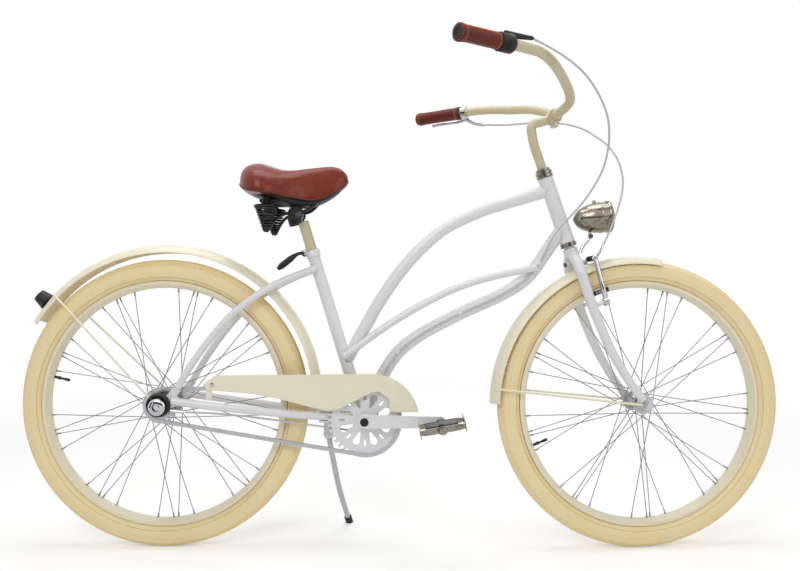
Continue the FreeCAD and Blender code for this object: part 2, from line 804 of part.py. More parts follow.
# Guard brackets: a plate behind the chainring reaches over the chain, and a strap at the back.
ring_reach = float(ring_radius) + half_chain
arm_y = -float(size("bracket_half_width")) - 4.0
arm_top = float(bracket_height) + ring_reach + 10.0
front_arm = box("guard_arm", 14.0, 2.0, arm_top - float(bracket_height) - 14,
                point(bracket_x, arm_y, (arm_top + float(bracket_height) + 14) / 2))
front_tab = box("guard_tab", 14.0, -guard_y - 0.3 + arm_y + 1.0, 2.0,
                point(bracket_x, (guard_y + 0.3 + arm_y + 1.0) / 2, arm_top - 1.0))
arm_ring = cylinder("guard_arm_ring", size("bracket_radius") + 3.0, 2.0,
                    point(bracket_x, arm_y - 1.0, bracket_height), LEFT)
arm_hole = cylinder("guard_arm_hole", size("bracket_radius") - 0.7, 20.0,
                    point(bracket_x, arm_y - 10.0, bracket_height), LEFT)
rear_strap = box("guard_strap", 14.0, 2.0, 26.0, point(112, guard_y + 1.3, 360))
keep("guard_brackets", group_of("guard_brackets",
                                cut("guard_front_bracket", fuse("guard_front_all", front_arm,
                                                                front_tab, arm_ring), arm_hole),
                                rear_strap))

# Bottom bracket cups: they carry the spindle in the shell.
spindle_radius = 8.0
cup_depth = 12.0
cups = []
for word, side in (("right", -1), ("left", 1)):
    mouth = BRACKET + LEFT * (side * (float(size("bracket_half_width")) + 0.3))
    sleeve = cylinder("bracket_sleeve_" + word, size("bracket_radius") - size("bracket_wall") - 0.1,
                      cup_depth, mouth - LEFT * (side * cup_depth), LEFT * side)
    flange = cylinder("bracket_flange_" + word, size("bracket_radius") - 1.0, 3.0, mouth,
                      LEFT * side)
    bore = cylinder("bracket_cup_bore_" + word, spindle_radius + 0.1, 40.0,
                    mouth - LEFT * (side * 20), LEFT * side)
    cups.append(cut("bracket_cup_" + word, fuse("bracket_cup_all_" + word, sleeve, flange), bore))
keep("bracket_cups", group_of("bracket_cups", *cups))

# Crank
tread = float(size("crank_half_tread"))
thick = float(size("crank_thickness"))
spindle = cylinder("crank_spindle", spindle_radius, tread * 2 - 2, BRACKET - LEFT * (tread - 1), LEFT)
arms = []
for word, side, ahead in (("right", -1, 1), ("left", 1, -1)):
    inner = side * tread
    eye = BRACKET + AHEAD * (ahead * float(size("crank_length")))
    boss = cone("crank_boss_" + word, 17.0, 15.0, thick + 8.0,
                BRACKET + LEFT * (inner - side * 8), LEFT * side)
    tip = cylinder("crank_tip_" + word, 12.5, thick, eye + LEFT * inner, LEFT * side)
    half_boss, half_tip = 15.0, 12.0
    corners = [Vector(0, half_boss, 0), Vector(171, half_tip, 0), Vector(171, -half_tip, 0),
               Vector(0, -half_boss, 0)]
    blade = plate("crank_blade_" + word,
                  ((0, -half_boss), (size("crank_length"), -half_tip),
                   (size("crank_length"), half_tip), (0, half_boss)),
                  size("crank_thickness"),
                  Placement(BRACKET + LEFT * (inner if side > 0 else inner),
                            Rotation(AHEAD * ahead, UP * (-side * ahead) * -1.0,
                                     LEFT * side, "ZXY")))
    arms.append(fuse("crank_arm_" + word, boss, tip, blade))
carrier = cylinder("chainring_carrier", 15.5, tread - float(size("chain_line")) + 2,
                   ring_centre + LEFT * 1.3, LEFT * -1)
keep("cranks", fuse("cranks", spindle, carrier, *arms), "crank")

# Pedals
for word, side, ahead in (("right", -1, 1), ("left", 1, -1)):
    eye = BRACKET + AHEAD * (ahead * float(size("crank_length")))
    start = eye + LEFT * side * (tread + thick + 0.3)
    out = LEFT * side
    axle_rod = cylinder("pedal_axle_" + word, 6.5, 104.0, start, out)
    width = float(size("pedal_width"))
    body_centre = start + out * (14 + width / 2)
    block = box("pedal_block_" + word, 30.0, width, size("pedal_thickness") - 4.0, body_centre)
    rails = []
    for end in (-1, 1):
        rail_centre = body_centre + AHEAD * (end * (float(size("pedal_length")) / 2 - 2))
        rails.append(box("pedal_rail_%s_%d" % (word, end + 1), 4.0, width,
                         size("pedal_thickness"), rail_centre))
    for end in (-1, 1):
        bar_centre = body_centre + out * (end * (width / 2 - 1.5))
        rails.append(box("pedal_bar_%s_%d" % (word, end + 1), size("pedal_length") - 4.0, 3.0,
                         18.0, bar_centre))
    keep("pedal_" + word, fuse("pedal_" + word, axle_rod, block, *rails), "pedal_" + word)

# Seat post, clamp and saddle
post_foot = seat_foot + SEAT_UP * 300
post_top = point(seat_tube_x(size("seat_post_top")), 0, size("seat_post_top"))
keep("seat_post", cylinder("seat_post", size("seat_post_radius"), (post_top - post_foot).Length,
                           post_foot, SEAT_UP))
collar_outer = cylinder("seat_collar_outer", size("seat_tube_radius") + 3.0, 16.0,
                        seat_top - SEAT_UP * 15, SEAT_UP)
collar_bore = cylinder("seat_collar_bore", size("seat_tube_radius") + 0.15, 30.0,
                       seat_top - SEAT_UP * 22, SEAT_UP)
lever = tube("seat_lever", [seat_top + Vector(-19, -14, -6), seat_top + Vector(-30, -16, -9),
                            seat_top + Vector(-48, -17, -20), seat_top + Vector(-66, -17, -36)],
             4.2)
collar_bolt = cylinder("seat_collar_bolt", 4.0, 38.0, seat_top + Vector(-19, -18, -6), LEFT)
keep("seat_clamp", cut("seat_clamp", fuse("seat_clamp_all", collar_outer, collar_bolt, lever),
                       collar_bore))

# Saddle cover: sections across the length. back of nose tip, half width, top, bottom
SADDLE_SECTIONS = ((424, 6, 862, 846), (410, 16, 880, 838), (380, 24, 887, 824),
                   (335, 33, 884, 806), (290, 52, 877, 802), (255, 84, 882, 812),
                   (215, 112, 899, 832), (188, 105, 896, 836), (174, 82, 880, 842))
wires = []
base_wires = []
for x, half, top, low in SADDLE_SECTIONS:
    middle = (top + low) / 2
    rise = (top - low) / 2
    edge = half * 0.98
    skirt = middle - rise * 0.7
    loop = [Vector(x, -edge, skirt), Vector(x, -half, middle + rise * 0.1),
            Vector(x, -half * 0.6, middle + rise * 0.88), Vector(x, 0, top),
            Vector(x, half * 0.6, middle + rise * 0.88), Vector(x, half, middle + rise * 0.1),
            Vector(x, edge, skirt), Vector(x, 0, low)]
    under = [Vector(x, -edge * 0.93, skirt - 0.5 - (skirt - low) * 0.07), Vector(x, 0, low - 0.5),
             Vector(x, edge * 0.93, skirt - 0.5 - (skirt - low) * 0.07),
             Vector(x, edge * 0.5, (skirt + low) / 2 - 7), Vector(x, 0, low - 7),
             Vector(x, -edge * 0.5, (skirt + low) / 2 - 7)]
    base_wires.append(Part.makePolygon(under + under[:1]))
    arcs = [Part.Arc(loop[0], loop[1], loop[2]).toShape(),
            Part.Arc(loop[2], loop[3], loop[4]).toShape(),
            Part.Arc(loop[4], loop[5], loop[6]).toShape(),
            Part.LineSegment(loop[6], loop[7]).toShape(),
            Part.LineSegment(loop[7], loop[0]).toShape()]
    wires.append(Part.Wire(arcs))
cover_shape = Part.makeLoft(wires, True, False)
keep("saddle_cover", solid_feature("saddle_cover", cover_shape))
cover_room = cover_shape.translated(Vector(0, 0, -0.6))
base_shape = Part.makeLoft(base_wires[1:-1], True, True).cut([cover_shape, cover_room])
keep("saddle_base", solid_feature("saddle_base", base_shape.Solids[0]))
base_room = solid_feature("saddle_base_room", base_shape.Solids[0].translated(Vector(0, 0, -0.6)))

clamp_centre = post_top + Vector(0, 0, 10)
clamp = cylinder("saddle_clamp", 13.0, 50.0, clamp_centre - LEFT * 25, LEFT)
rails = []
for word, side in (("right", -1), ("left", 1)):
    y = side * 21
    rails.append(tube("saddle_rail_" + word, [
        point(388, y * 0.3, 824), point(372, y * 0.6, 800), point(348, y, 782),
        point(300, y, 772), point(262, y * 1.6, 760), point(240, y * 2.4, 738),
        point(228, y * 2.9, 730)], 4.0))
    rails.append(cone("saddle_spring_" + word, 11.0, 25.0, 66.0, point(222, side * 62, 732),
                      Vector(-6, 0, 66)))
    rails.append(cylinder("saddle_post_" + word, 6.0, 24.0, point(216, side * 62, 796)))
saddle_bolt = cylinder("saddle_bolt", 4.0, 64.0, clamp_centre - LEFT * 32, LEFT)
keep("saddle_frame", cut("saddle_frame", fuse("saddle_frame_all", clamp, saddle_bolt, *rails),
                         base_room, NODES["saddle_base"],
                         cylinder("saddle_post_hole", size("seat_post_radius") + 0.1, 40.0,
                                  post_top - SEAT_UP * 39.9, SEAT_UP)))

# Mudguards: an arched sheet turned about a centre near the wheel's
def mudguard(name, centre, crest, first_angle, last_angle, group):
    half = size("mudguard_half_width")
    deep = size("mudguard_depth")
    sheet_size = size("mudguard_sheet")
    bow = (half * half + deep * deep) / (deep * 2.0)
    outline = (
        (crest - deep, -half, bow),
        (crest, 0.0, bow),
        (crest - deep, half),
        (crest - deep, half - sheet_size, sheet_size - bow),
        (crest - sheet_size, 0.0, sheet_size - bow),
        (crest - deep, -half + sheet_size),
    )
    made = turned(name, outline, centre, LEFT, last_angle - first_angle, -last_angle)
    return keep(name, made, group)


front_guard_centre = FRONT_AXLE + Vector(-5, 0, -4)
mudguard("rear_mudguard", rear_guard_centre, size("mudguard_radius"), 2.0, 149.0, "frame")
mudguard("front_mudguard", front_guard_centre, size("front_mudguard_radius"), 80.0, 179.0,
         "steering")


def ring_point(centre, radius, angle, y):
    bend = math.radians(angle)
    return centre + Vector(radius * math.cos(bend), y, radius * math.sin(bend))


rear_stays = []
front_stays = []
guard_half = float(size("mudguard_half_width")) + 2.4
for word, side in (("right", -1), ("left", 1)):
    foot = REAR_AXLE + Vector(-7, side * (stay_side + 5.5), 9)
    rear_stays.append(tube("rear_mudguard_stay_" + word, [
        foot, foot + Vector(-24, -side * 2, 24),
        ring_point(rear_guard_centre, float(size("mudguard_radius")) - 14, 136, side * guard_half)
        + Vector(14, side * 1.5, -14),
        ring_point(rear_guard_centre, float(size("mudguard_radius")) - 9, 136, side * guard_half)],
        2.5))
    foot = FRONT_AXLE + Vector(-11.8, side * 64.0, 1)
    front_stays.append(tube("front_mudguard_stay_" + word, [
        foot, foot + Vector(-30, -side * 2, 3.0),
        ring_point(front_guard_centre, float(size("front_mudguard_radius")) - 22, 173,
                   side * guard_half) + Vector(24, side, -3),
        ring_point(front_guard_centre, float(size("front_mudguard_radius")) - 16, 173,
                   side * guard_half)], 2.5))
keep("rear_mudguard_stays", group_of("rear_mudguard_stays", *rear_stays))
keep("front_mudguard_stays", group_of("front_mudguard_stays", *front_stays), "steering")

lamp_angle = 141.0
lamp_out = Vector(math.cos(math.radians(lamp_angle)), 0, math.sin(math.radians(lamp_angle)))
lamp_start = rear_guard_centre + lamp_out * (float(size("mudguard_radius")) + 0.3)
keep("rear_lamp", cone("rear_lamp", 20.0, 15.0, 26.0, lamp_start, lamp_out))

# Fork: a steerer in the head tube and two blades from one crown
steerer_foot = steering_point(size("crown_height"))
steerer = cylinder("steerer", size("steerer_radius"),
                   (steering_point(size("head_tube_top")) - steerer_foot).Length + 20,
                   steerer_foot, STEER_UP)
crown = cylinder("fork_crown", 17.0, 20.0, steerer_foot - STEER_UP * 4, STEER_UP)
axis_foot = FRONT_AXLE - STEER_AHEAD * float(size("fork_rake"))
blade_length = (steerer_foot - axis_foot).Length
# way down the axis as a share of the blade, ahead of the axis, half spread
BLADE = ((0.0, -2.0, 10.0), (0.045, -4.0, 38.0), (0.115, -6.0, 46.5), (0.32, -9.0, 51.0),
         (0.60, -4.0, 54.0),
         (0.82, 12.0, 57.0), (0.99, 33.0, 58.0))
BRAKE_HEIGHT = as_size(560.5)
blades = []
for word, side in (("right", -1), ("left", 1)):
    path = [steerer_foot - STEER_UP * (share * blade_length) + STEER_AHEAD * ahead
            + LEFT * (side * spread) for share, ahead, spread in BLADE]
    blades.append(tube("fork_blade_" + word, path, 12.5, as_size(9.0)))
    fork_eye = cylinder("fork_eye_" + word, 13.0, size("dropout_thickness"),
                        FRONT_AXLE + LEFT * side * float(size("front_spacing")), LEFT * side)
    blades.append(fork_eye)
    blades.append(cylinder("brake_boss_" + word, 5.0, 39.0,
                           steering_point(BRAKE_HEIGHT, -8.0, side * 49.0), STEER_AHEAD))
axle_hole = cylinder("fork_axle_hole", size("axle_radius") + 0.3, 160.0, FRONT_AXLE - LEFT * 80,
                     LEFT)
hub_room = cylinder("fork_hub_room", 20.0, size("front_spacing") * 2.0,
                    FRONT_AXLE - LEFT * float(size("front_spacing")), LEFT)
nut_rooms = [cylinder("fork_nut_room_" + word, 14.0, 20.0, FRONT_AXLE + LEFT * side
                      * float(size("front_spacing") + size("dropout_thickness")), LEFT * side)
             for word, side in (("right", -1), ("left", 1))]
keep("fork", cut("fork", fuse("fork_all", steerer, crown, *blades), axle_hole, hub_room,
                 *nut_rooms), "steering")

cups = []
for word, low, high, radius in (
        ("lower", size("crown_height") + 19.0, size("head_tube_bottom"), 20.0),
        ("upper", size("head_tube_top"), size("head_tube_top") + 22.0, 20.0)):
    start = steering_point(low) + STEER_UP * 0.3
    length = (steering_point(high) - steering_point(low)).Length - 0.6
    cup = cylinder("headset_cup_" + word, radius, length, start, STEER_UP)
    bore = cylinder("headset_bore_" + word, size("steerer_radius") + 0.3, length + 20,
                    start - STEER_UP * 10, STEER_UP)
    cups.append(cut("headset_" + word, cup, bore))
keep("headset", group_of("headset", *cups))

# Stem, bar and grips
bar_centre = point(906, 0, 1001)
quill_foot = steering_point(size("head_tube_top")) + STEER_UP * 20.3
quill_path = [quill_foot, steering_point(as_size(940.0)),
              steering_point(as_size(981.0), 8.0), bar_centre + Vector(-24, 0, -10), bar_centre]
stem_body = tube("stem_body", quill_path, size("quill_radius"))
stem_clamp = cylinder("stem_clamp", size("bar_radius") + 5.5, 36.0, bar_centre - LEFT * 18, LEFT)
keep("stem", cut("stem", fuse("stem_all", stem_body, stem_clamp),
                 cylinder("stem_bar_hole", size("bar_radius") + 0.1, 60.0, bar_centre - LEFT * 30,
                          LEFT)), "steering")
# ahead, side, up
BAR = ((906, 0, 1001), (906, 36, 1001), (929, 66, 1020), (914, 102, 1038), (885, 150, 1056),
       (850, 210, 1067), (815, 248, 1077), (772, 270, 1079), (629, 364, 1074))
half_bar = [Vector(*row) for row in BAR]
bar_points = mirrored(half_bar)[:0:-1] + half_bar[1:]
bar_points = [p for p in bar_points]
keep("handlebar", tube("handlebar", bar_points, size("bar_radius")), "steering")
bar_end = half_bar[-1]
bar_run = (half_bar[-2] - bar_end).normalize()
for word, side, length in (("left", 1, 125.0), ("right", -1, 105.0)):
    end = Vector(bar_end.x, side * bar_end.y, bar_end.z)
    run = Vector(bar_run.x, side * bar_run.y, bar_run.z)
    outer = cylinder("grip_outer_" + word, size("grip_radius"), length, end - run * 4, run)
    bore = cylinder("grip_bore_" + word, size("bar_radius") + 0.1, length + 10, end, run)
    keep("grip_" + word, cut("grip_" + word, outer, bore), "steering")
right_end = Vector(bar_end.x, -bar_end.y, bar_end.z)
right_run = Vector(bar_run.x, -bar_run.y, bar_run.z)
shifter_outer = cylinder("shifter_outer", 19.0, 34.0, right_end + right_run * 102, right_run)
shifter_bore = cylinder("shifter_bore", size("bar_radius") + 0.1, 60.0,
                        right_end + right_run * 90, right_run)
keep("twist_shifter", cut("twist_shifter", shifter_outer, shifter_bore), "steering")
left_run = bar_run
lever_at = bar_end + left_run * 135
lever_outer = cylinder("lever_clamp", 16.0, 14.0, lever_at - left_run * 7, left_run)
lever_bore = cylinder("lever_bore", size("bar_radius") + 0.1, 60.0, lever_at - left_run * 30,
                      left_run)
lever_ahead = UP.cross(left_run).normalize()
lever_body = tube("brake_lever_blade", [
    lever_at + lever_ahead * 12 - UP * 6, lever_at + lever_ahead * 34 - UP * 9,
    lever_at + lever_ahead * 40 - left_run * 34 - UP * 13,
    lever_at + lever_ahead * 33 - left_run * 74 - UP * 13,
    lever_at + lever_ahead * 36 - left_run * 112 - UP * 14], 4.5)
keep("brake_lever", cut("brake_lever", fuse("brake_lever_all", lever_outer, lever_body),
                        lever_bore), "steering")

# Headlamp with its bracket
lamp_centre = point(994, 0, 765)
lamp_ahead = Vector(math.cos(math.radians(5)), 0, math.sin(math.radians(5)))
LAMP = ((0.0, -43.0), (2.0, -43.0, 42.0), (24.0, -26.0, 92.0), (36.0, 20.0), (36.0, 44.0),
        (33.0, 44.0), (33.0, 22.0), (22.0, -22.0), (0.0, -36.0))
keep("headlamp_shell", turned("headlamp_shell", LAMP, lamp_centre, lamp_ahead), "steering")
keep("headlamp_lens", turned("headlamp_lens", ((0.0, 40.0), (32.6, 38.0), (32.6, 42.0),
                                               (0.0, 46.0)), lamp_centre, lamp_ahead), "steering")
bracket_path = [point(992, 0, 742), point(990, 0, 716), point(974, 0, 700), point(968, 0, 683.5)]
lamp_room = turned("lamp_room", ((0.0, -43.4), (2.4, -43.4, 42.0), (24.4, -26.2, 92.0),
                                 (36.4, 20.0), (36.4, 44.0), (0.0, 44.0)), lamp_centre, lamp_ahead)
keep("lamp_bracket", cut("lamp_bracket", tube("lamp_bracket_sweep", bracket_path, 4.0),
                         lamp_room), "steering")

# Front rim brake: two arms on the fork's bosses, their shoes and the cable's boot across
brake_pieces = []
brake_tools = []
rim_side = float(size("rim_half_width"))
for word, side in (("right", -1), ("left", 1)):
    pivot = steering_point(BRAKE_HEIGHT, 20.0, side * 49.0)
    top = steering_point(BRAKE_HEIGHT, 38.0, side * 39.0) + STEER_UP * 102
    eye = cylinder("brake_eye_" + word, 9.0, 11.5, pivot, STEER_AHEAD)
    arm = tube("brake_arm_" + word, [pivot + STEER_AHEAD * 6, pivot + STEER_AHEAD * 9
                                     + STEER_UP * 32 + LEFT * (side * 2), top], 5.5)
    shoe_centre = steering_point(BRAKE_HEIGHT, 17.4, side * (rim_side + 6.5)) + STEER_UP * 24
    shoe = box("brake_shoe_" + word, 60.0, 9.0, 10.0, shoe_centre, STEER_UP)
    stud = cylinder("brake_stud_" + word, 3.5, 49.0 - rim_side - 4.0,
                    shoe_centre + STEER_AHEAD * 11, LEFT * side)
    brake_pieces += [eye, arm, shoe, stud]
    brake_tools.append(cylinder("brake_bore_" + word, 5.3, 60.0, pivot - STEER_AHEAD * 20,
                                STEER_AHEAD))
boot = cylinder("brake_boot", 4.5, 78.0, top - LEFT * 78.0, LEFT)
keep("front_brake", cut("front_brake", fuse("front_brake_all", boot, *brake_pieces),
                        *brake_tools), "steering")

# Parked pose: the steering turns, then the bicycle leans onto its stand
steer_turn = Placement(Vector(), Rotation(STEER_UP, float(size("steer_angle"))),
                       steering_point(wheel_radius))
lean = Placement(Vector(), Rotation(AHEAD, -float(size("lean_angle"))), Vector())


def lowest(centre, axle_way):
    """How low a leaning tyre reaches."""
    middle = float(wheel_radius - size("tyre_section"))
    return (centre.z - middle * math.sqrt(1 - axle_way.z ** 2) - float(size("tyre_section")))


front_turn = lean * steer_turn
front_centre = front_turn.multVec(FRONT_AXLE)
front_way = front_turn.Rotation.multVec(LEFT)
rear_low = lowest(lean.multVec(REAR_AXLE), lean.Rotation.multVec(LEFT))
front_low = lowest(front_centre, front_way)
nod = Rotation(LEFT, math.degrees(math.atan2(front_low - rear_low, front_centre.x)))
parked = Placement(Vector(0, 0, -rear_low), nod) * lean

# Side stand
to_upright = parked.inverse()
foot_ground = parked.multVec(point(size("stand_foot_x"), size("stand_foot_y"), 0))
foot_ground.z = 0.0
foot = to_upright.multVec(foot_ground)
pivot = point(size("stand_pivot_x"), size("stand_pivot_y"), size("stand_pivot_height"))
elbow = Vector(400, 52, 118)
foot_run = (elbow - foot).normalize()
# The stand swings back about an axis that brings its foot in beside the rear wheel.
stand_down = (foot - pivot).normalize()
stand_folded = Vector(-0.88, 0.475, -0.02).normalize()
fold_way = (stand_down - stand_folded).normalize()
stand_axis = (LEFT - fold_way * LEFT.dot(fold_way)).normalize()
to_elbow = elbow - pivot
square_down = (to_elbow - stand_axis * to_elbow.dot(stand_axis)).normalize()
leg_path = [pivot + square_down * 4, pivot + square_down * 34, elbow, foot + foot_run * 26]
pin_radius = 4.0
eye = cylinder("stand_eye", 11.0, 14.0, pivot - stand_axis * 7, stand_axis)
eye_bore = cylinder("stand_eye_bore", pin_radius + 0.2, 30.0, pivot - stand_axis * 15, stand_axis)
leg = fuse("stand_leg_all", eye, tube("stand_leg_tube", leg_path, size("stand_radius")))
keep("stand_leg", cut("stand_leg", leg, eye_bore), "stand")
foot_block = cylinder("stand_foot_block", 9.0, 40.0, foot - foot_run * 15, foot_run)
ground = box("ground", 200.0, 200.0, 60.0, Vector(0, 0, 0))
ground.Placement = to_upright * Placement(foot_ground + Vector(-100, -100, -60), Rotation())
foot_socket = cylinder("stand_foot_socket", size("stand_radius") + 0.1, 20.0,
                       foot + foot_run * 25.8, foot_run)
keep("stand_foot", cut("stand_foot", foot_block, ground, foot_socket), "stand")
# The mount clamps round both chainstays, and its ears carry the leg's pin.
stay_low = 296.1
stay_high = 317.2
mount_x = float(size("stand_pivot_x"))
lower_plate = box("stand_plate_low", 34.0, 72.0, 4.0, point(mount_x, 0, stay_low - 2.0))
upper_plate = box("stand_plate_high", 30.0, 72.0, 4.0, point(mount_x, 0, stay_high + 2.0))
mount_bolt = cylinder("stand_bolt", 4.0, stay_high - stay_low + 12.0,
                      point(mount_x, 0, stay_low - 2.0))
ears = []
for side in (-1, 1):
    ear = pivot + stand_axis * (side * 9.8)
    ears.append(cylinder("stand_ear_%d" % (side + 1), 11.0, 5.0, ear - stand_axis * 2.5,
                         stand_axis))
    ears.append(box("stand_web_%d" % (side + 1), 20.0, 5.0, stay_low - 3.0 - pivot.z,
                    Vector(mount_x, ear.y, (stay_low - 3.0 + pivot.z) / 2)))
pin = cylinder("stand_pin", pin_radius, 27.0, pivot - stand_axis * 13.5, stand_axis)
stand_room = cylinder("stand_room", 13.0, 14.8, pivot - stand_axis * 7.4, stand_axis)
keep("stand_mount", fuse("stand_mount", lower_plate, upper_plate, mount_bolt, pin,
                         cut("stand_ears", fuse("stand_ears_all", *ears), stand_room)))

doc.recompute()

for label, made in NODES.items():
    turned_with_bar = GROUPS[label] in ("steering", "front_wheel")
    made.Placement = parked * (steer_turn if turned_with_bar else Placement()) * made.Placement
doc.recompute()

# The origin lies on the ground, midway between the wheels and between the bar's two ends.
bar_middle = parked.multVec(point(bar_end.x, 0, bar_end.z))
to_origin = Placement(Vector(-float(wheelbase) / 2, -bar_middle.y, 0), Rotation())
for made in NODES.values():
    made.Placement = to_origin * made.Placement
doc.recompute()

faults = [o.Name for o in doc.Objects if "Invalid" in o.State or "Error" in o.State]
for label, made in NODES.items():
    if made.Shape.isNull() or not made.Shape.isValid() or not made.Shape.Solids:
        faults.append(label)
if faults:
    raise RuntimeError("not built: " + ", ".join(faults))

for label, made in NODES.items():
    made.Shape.exportStep("parts/%s.step" % label)
whole = to_origin * parked
down_square = stand_down - stand_axis * stand_down.dot(stand_axis)
folded_square = stand_folded - stand_axis * stand_folded.dot(stand_axis)
fold_angle = math.degrees(down_square.getAngle(folded_square))
print("nodes", len(NODES), "stand folds by", round(fold_angle, 2))

# Joint axes in the finished frame: name, point, axis
whole = to_origin * parked
pedal_eyes = [BRACKET + AHEAD * (way * float(size("crank_length"))) for way in (1, -1)]
for name, placed, where, axis in (
        ("steering", whole, steering_point(wheel_radius), STEER_UP),
        ("front_wheel", whole * steer_turn, FRONT_AXLE, LEFT),
        ("rear_wheel", whole, REAR_AXLE, LEFT),
        ("crank", whole, BRACKET, LEFT),
        ("pedal_right", whole, pedal_eyes[0], LEFT),
        ("pedal_left", whole, pedal_eyes[1], LEFT),
        ("stand", whole, pivot, stand_axis)):
    print("axis", name, *(round(v, 4) for v in placed.multVec(where)),
          *(round(v, 6) for v in placed.Rotation.multVec(axis)))
# Mounts: the free threads at the axles' ends
free_thread = float(thread_end) - washer_depth
for name, placed, centre, half_spacing in (
        ("rear_axle", whole, REAR_AXLE, size("rear_spacing")),
        ("front_axle", whole * steer_turn, FRONT_AXLE, size("front_spacing"))):
    for word, side in (("right", -1), ("left", 1)):
        middle = float(half_spacing + size("dropout_thickness") + nut_depth + thread_end)
        where = centre + LEFT * (side * (middle - free_thread / 2))
        print("mount", name + "_end_" + word, *(round(v, 4) for v in placed.multVec(where)),
              *(round(v, 6) for v in placed.Rotation.multVec(LEFT * side)),
              round(float(size("axle_radius")), 3), round(free_thread, 3))
print("placement", *(round(v, 5) for v in whole.Base), *(round(v, 8) for v in whole.Rotation.Q))
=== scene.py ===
import json
import math

import bmesh
import bpy
from mathutils import Matrix, Vector


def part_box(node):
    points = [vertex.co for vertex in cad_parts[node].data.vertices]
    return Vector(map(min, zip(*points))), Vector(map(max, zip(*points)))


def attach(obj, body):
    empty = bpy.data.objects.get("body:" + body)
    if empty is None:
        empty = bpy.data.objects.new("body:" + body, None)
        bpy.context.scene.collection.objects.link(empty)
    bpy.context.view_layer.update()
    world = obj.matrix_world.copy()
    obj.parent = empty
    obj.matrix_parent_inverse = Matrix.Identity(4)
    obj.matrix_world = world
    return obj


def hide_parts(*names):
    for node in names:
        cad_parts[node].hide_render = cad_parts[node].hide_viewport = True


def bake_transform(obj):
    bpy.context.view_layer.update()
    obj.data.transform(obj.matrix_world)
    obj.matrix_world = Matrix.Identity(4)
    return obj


# City bicycle leaning on its side stand. The frame below comes packed from the part's source.
# Pieces are modelled in millimetres on the upright bicycle, +X forward, +Y to its left, +Z up and
# the rear axle above the origin. Then they are put where the parked bicycle stands, in metres.

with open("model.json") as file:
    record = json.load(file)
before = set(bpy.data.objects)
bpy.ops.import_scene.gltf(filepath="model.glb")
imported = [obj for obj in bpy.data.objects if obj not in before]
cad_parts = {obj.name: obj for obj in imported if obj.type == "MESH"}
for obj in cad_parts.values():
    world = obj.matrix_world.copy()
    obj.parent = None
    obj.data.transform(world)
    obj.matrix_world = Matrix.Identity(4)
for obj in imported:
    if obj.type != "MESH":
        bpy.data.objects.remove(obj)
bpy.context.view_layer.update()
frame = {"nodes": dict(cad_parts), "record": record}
record = frame["record"]
nodes = frame["nodes"]

# Driving sizes, as in the part's source
WHEEL_RADIUS = 333.5
TYRE_SECTION = 27.0
WHEELBASE = 1102.5
BRACKET = Vector((466, 0, 300))
HEAD_ANGLE = math.radians(71)
FORK_RAKE = 34.2
STEER_ANGLE = math.radians(5)
REAR_AXLE = Vector((0.0, 0.0, WHEEL_RADIUS))
FRONT_AXLE = Vector((WHEELBASE, 0.0, WHEEL_RADIUS))
STEER_UP = Vector((-math.cos(HEAD_ANGLE), 0.0, math.sin(HEAD_ANGLE)))
STEER_AHEAD = Vector((math.sin(HEAD_ANGLE), 0.0, math.cos(HEAD_ANGLE)))
STEER_FOOT = FRONT_AXLE - STEER_AHEAD * FORK_RAKE
LEFT = Vector((0, 1, 0))
AHEAD = Vector((1, 0, 0))
UP = Vector((0, 0, 1))
MILLIMETRE = 0.001

joints = {joint["name"]: joint for joint in record["behaviour"]["joints"]}


def parked_place():
    """The matrix that takes upright millimetres to the parked bicycle, read from its joints."""
    axle = Vector(joints["rear_wheel_turn"]["pos_m"])
    side = Vector(joints["rear_wheel_turn"]["axis"]).normalized()
    to_bracket = Vector(joints["crank_turn"]["pos_m"]) - axle
    drop = math.atan2(WHEEL_RADIUS - BRACKET.z, BRACKET.x)
    ahead = (Matrix.Rotation(-drop, 3, side) @ to_bracket).normalized()
    up = ahead.cross(side)
    turned = Matrix((ahead, side, up)).transposed().to_4x4()
    return (Matrix.Translation(axle) @ turned @ Matrix.Scale(MILLIMETRE, 4)
            @ Matrix.Translation(-REAR_AXLE))


def about(point, axis, angle):
    """A turn about an axis through a point."""
    return (Matrix.Translation(point) @ Matrix.Rotation(angle, 4, axis)
            @ Matrix.Translation(-point))


PARKED = parked_place()
STEERED = PARKED @ about(STEER_FOOT, STEER_UP, STEER_ANGLE)


def linked(name, data):
    """A new object in the scene that shows the data."""
    holder = bpy.data.objects.new(name, data)
    bpy.context.scene.collection.objects.link(holder)
    return holder


def meshed(name, shape):
    """The shape as a mesh. The shape itself is let go."""
    mesh = bpy.data.meshes.new(name)
    shape.to_mesh(mesh)
    shape.free()
    return mesh


# Camera
CAMERA_PLACE = Vector((546, -1950, 607))
CAMERA_LENS = 37.53
SENSOR_WIDTH = 36.0
CAMERA_REACH = 60.0


def set_camera():
    """A level camera square to the bicycle's right side, as the photograph was taken."""
    camera = bpy.data.cameras.new("camera")
    camera.sensor_width = SENSOR_WIDTH
    camera.lens = CAMERA_LENS
    camera.clip_end = CAMERA_REACH
    holder = linked("camera", camera)
    aim = PARKED.to_3x3().normalized().to_4x4() @ Matrix.Rotation(math.radians(90), 4, "X")
    holder.matrix_world = Matrix.Translation(PARKED @ CAMERA_PLACE) @ aim
    bpy.context.scene.camera = holder


set_camera()


# Shader helpers

def paint(red, green, blue):
    """A colour given as it looks on a screen, as the shader's linear colour."""
    def linear(part):
        part /= 255.0
        return part / 12.92 if part <= 0.04045 else ((part + 0.055) / 1.055) ** 2.4
    return (linear(red), linear(green), linear(blue), 1.0)


